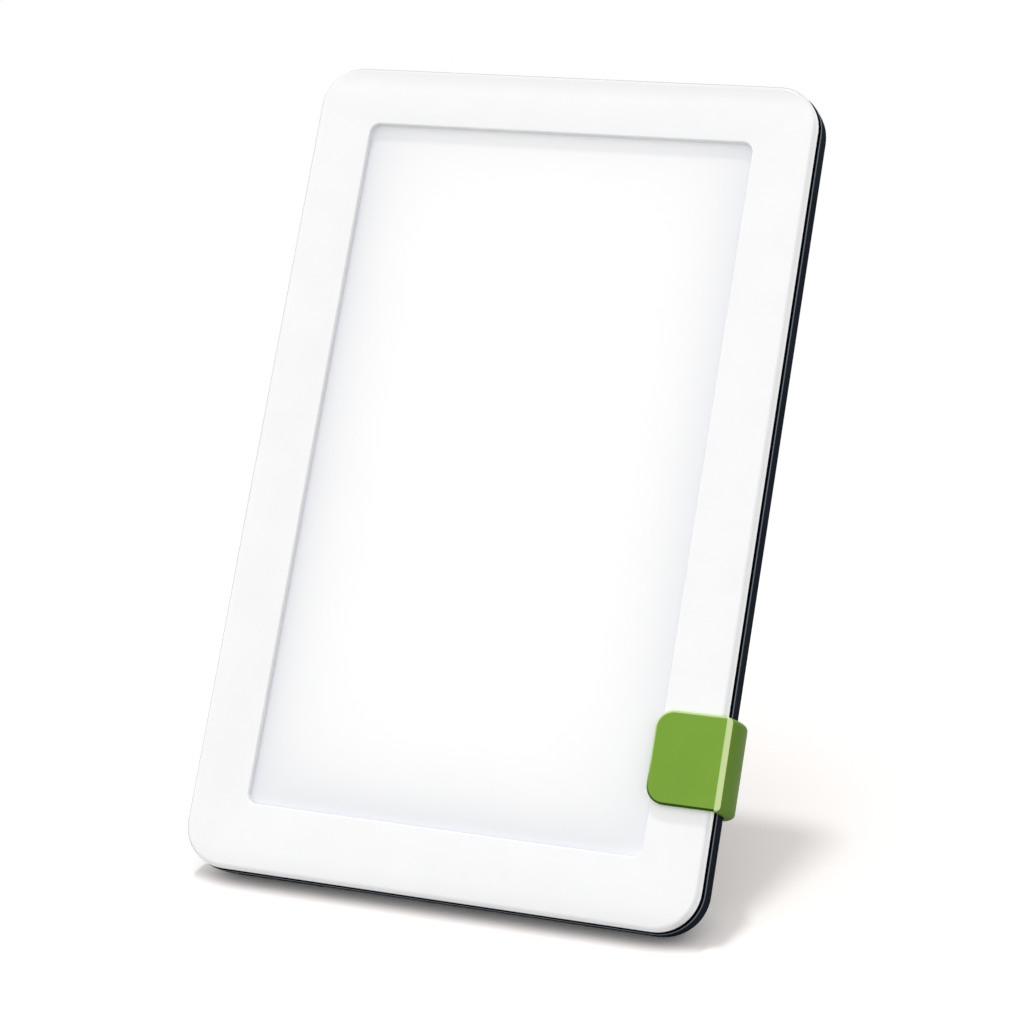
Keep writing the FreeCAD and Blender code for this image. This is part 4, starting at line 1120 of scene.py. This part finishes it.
@dataclass(frozen=True)
class ClipStand(SubAssembly):
    """The green clip with its arm and mast, and the rubber in its jaws."""

    body: ClassVar[Body] = Body.STAND
    clip_arris: float = 0.22 * MM
    clip_segments: int = 3
    pad_arris: float = 0.1 * MM

    def build(self) -> None:
        """Make every piece of the stand."""
        self.soften("stand_clip", self.clip_arris, self.clip_segments)
        for side in ("front", "rear"):
            self.soften(f"grip_pad_{side}", self.pad_arris)


@dataclass(frozen=True)
class FoldingLeg(SubAssembly):
    """The folding leg and its rubber shoe."""

    body: ClassVar[Body] = Body.LEG
    leg_arris: float = 0.2 * MM
    shoe_arris: float = 0.3 * MM
    segments: int = 3

    def build(self) -> None:
        """Make every piece of the leg."""
        self.soften("stand_leg", self.leg_arris, self.segments)
        self.soften("leg_foot", self.shoe_arris, self.segments)


# ------------------------------------------------------------------------------------ studio


@dataclass(frozen=True)
class Studio:
    """Floor, light and camera.

    The floor's own light, lift, keeps its shadow pale. Ahead of the lamp, from front_from to
    front_to, front_lift is added to it. Both fade where the lamp meets the floor.
    """

    azimuth: float = 20.48
    elevation: float = 15.39
    distance: float = 804.3 * MM
    aim: Vector = field(default_factory=lambda: Vector((2.09, 109.87, -9.29)) * MM)
    focal_pixels: float = 2878.8
    image_pixels: float = 1024.0
    sensor: float = 36.0
    clip_near: float = 0.05
    clip_far: float = 40.0
    floor_radius: float = 9.0
    floor_steps: int = 96
    clear_from: float = 204.0 * MM
    clear_to: float = 340.0 * MM
    floor_colour: Colour = (1.0, 0.978, 0.968)
    bounce_colour: Colour = (0.28, 0.28, 0.28)
    lift_colour: Colour = (1.0, 0.94, 0.91)
    lift: float = 0.25
    contact_reach: float = 14.0 * MM
    contact_samples: int = 16
    front_lift: float = 0.55
    front_from: float = -52.0 * MM
    front_to: float = -60.0 * MM
    key: Vector = field(default_factory=lambda: Vector((-0.25, -0.92, 0.30)).normalized())
    fill_level: float = 0.30
    key_level: float = 1.26
    top_light: Vector = field(default_factory=lambda: Vector((-0.060, 0.098, 0.993)))
    top_strength: float = 0.90
    top_angle: float = 5.5

    def camera(self) -> None:
        """Set up the camera, which looks at a point near the middle of the head."""
        turn, rise = math.radians(self.azimuth), math.radians(self.elevation)
        level = math.cos(rise)
        back = Vector((math.sin(turn) * level, -math.cos(turn) * level, math.sin(rise)))
        right = Vector((math.cos(turn), math.sin(turn), 0.0))
        lens = bpy.data.cameras.new("camera")
        lens.sensor_width = self.sensor
        lens.lens = self.focal_pixels * self.sensor / self.image_pixels
        lens.clip_start, lens.clip_end = self.clip_near, self.clip_far
        camera = bpy.data.objects.new("camera", lens)
        bpy.context.scene.collection.objects.link(camera)
        place = Matrix((right, back.cross(right), back)).transposed().to_4x4()
        place.translation = HEAD.matrix() @ self.aim + back * self.distance
        camera.matrix_world = place
        bpy.context.scene.camera = camera

    def floor(self) -> None:
        """Lay the pale floor, which keeps the lamp's shadow and is white further out."""
        mesh = bpy.data.meshes.new("floor")
        shape = bmesh.new()
        bmesh.ops.create_circle(
            shape, cap_ends=True, segments=self.floor_steps, radius=self.floor_radius
        )
        shape.to_mesh(mesh)
        shape.free()
        floor = bpy.data.objects.new("floor", mesh)
        bpy.context.scene.collection.objects.link(floor)
        floor.data.materials.append(self.floor_material())

    def looked_at(self, graph: Graph) -> Signal:
        """Tell the rays that look from those that carry light.

        Args:
            graph: The graph of the floor's or the world's shader.

        Returns:
            1 for a ray from the camera, a reflection or a clear part, and 0 for others.
        """
        path = graph.add("ShaderNodeLightPath")
        camera, glossy, clear = (
            Signal(graph, path.outputs[f"Is {kind} Ray"])
            for kind in ("Camera", "Glossy", "Transmission")
        )
        return camera.larger(glossy).larger(clear)

    def floor_material(self) -> bpy.types.Material:
        """The floor's paint: matt and pale, and lifted to white for the camera and reflections.

        Returns:
            The paint.
        """
        paint = bpy.data.materials.new("studio_floor")
        paint.use_nodes = True
        graph = Graph(paint.node_tree)

        def glow(colour: Colour, strength: float) -> Tint:
            """A plain light of one colour and strength."""
            return graph.output("ShaderNodeEmission", {"Color": colour, "Strength": strength})

        def blend(factor: Signal, first: Tint, second: Tint) -> Tint:
            """The first shader at factor 0, and the second at factor 1."""
            return graph.output("ShaderNodeMixShader", {0: factor, 1: first, 2: second})

        from_lamp = Signal(graph, graph.add(
            "ShaderNodeVectorMath", {"operation": "LENGTH"}, {0: graph.place()}
        ).outputs["Value"])
        front = graph.place().dot(Vector((0.0, 1.0, 0.0))).rise(self.front_from, self.front_to)
        contact = {"samples": self.contact_samples}
        reach = {"Distance": self.contact_reach}
        openness = graph.add("ShaderNodeAmbientOcclusion", contact, reach).outputs["AO"]
        matt = graph.output("ShaderNodeBsdfDiffuse", {"Color": self.floor_colour})
        bounce = graph.output("ShaderNodeBsdfDiffuse", {"Color": self.bounce_colour})
        lift = glow(self.lift_colour, self.lift)
        more = glow(self.lift_colour, self.front_lift)
        dark = glow(BLACK, 0.0)
        white = glow(WHITE, 1.0)
        lift_ahead = blend(front, dark, more)
        open_lift = graph.output("ShaderNodeAddShader", {0: lift, 1: lift_ahead})
        lifted = blend(Signal(graph, openness), dark, open_lift)
        lit = graph.output("ShaderNodeAddShader", {0: matt, 1: lifted})
        seen = blend(from_lamp.rise(self.clear_from, self.clear_to), lit, white)
        whole = blend(self.looked_at(graph), bounce, seen)
        graph.add("ShaderNodeOutputMaterial", None, {"Surface": whole})
        return paint

    def light(self) -> None:
        """Light the lamp from a soft sky that is brighter on one side, and from a lamp overhead."""
        world = bpy.data.worlds.new("studio")
        bpy.context.scene.world = world
        world.use_nodes = True
        graph = Graph(world.node_tree)
        towards = Tint(graph, graph.add("ShaderNodeTexCoord").outputs["Generated"])
        level = towards.dot(self.key).larger(0.0) * self.key_level + self.fill_level
        sky = graph.output("ShaderNodeBackground", {"Color": WHITE, "Strength": level})
        plain = graph.output("ShaderNodeBackground", {"Color": WHITE, "Strength": 1.0})
        seen = {0: self.looked_at(graph), 1: sky, 2: plain}
        whole = graph.output("ShaderNodeMixShader", seen)
        graph.add("ShaderNodeOutputWorld", None, {"Surface": whole})
        lamp = bpy.data.lights.new("overhead", "SUN")
        lamp.energy = self.top_strength
        lamp.angle = math.radians(self.top_angle)
        overhead = bpy.data.objects.new("overhead", lamp)
        overhead.rotation_euler = self.top_light.to_track_quat("Z", "Y").to_euler()
        bpy.context.scene.collection.objects.link(overhead)

    def build(self) -> None:
        """Set up the whole studio."""
        self.camera()
        self.floor()
        self.light()
        bpy.context.scene.view_settings.view_transform = "Standard"


def main() -> None:
    """Dress the lamp, set up the studio and report."""
    logging.basicConfig(level=logging.INFO, format="%(name)s: %(message)s")
    Studio().build()
    dress_cad()
    for assembly in (LampHead(), PushButton(), ClipStand(), FoldingLeg()):
        assembly.build()


if __name__ == "__main__":
    main()
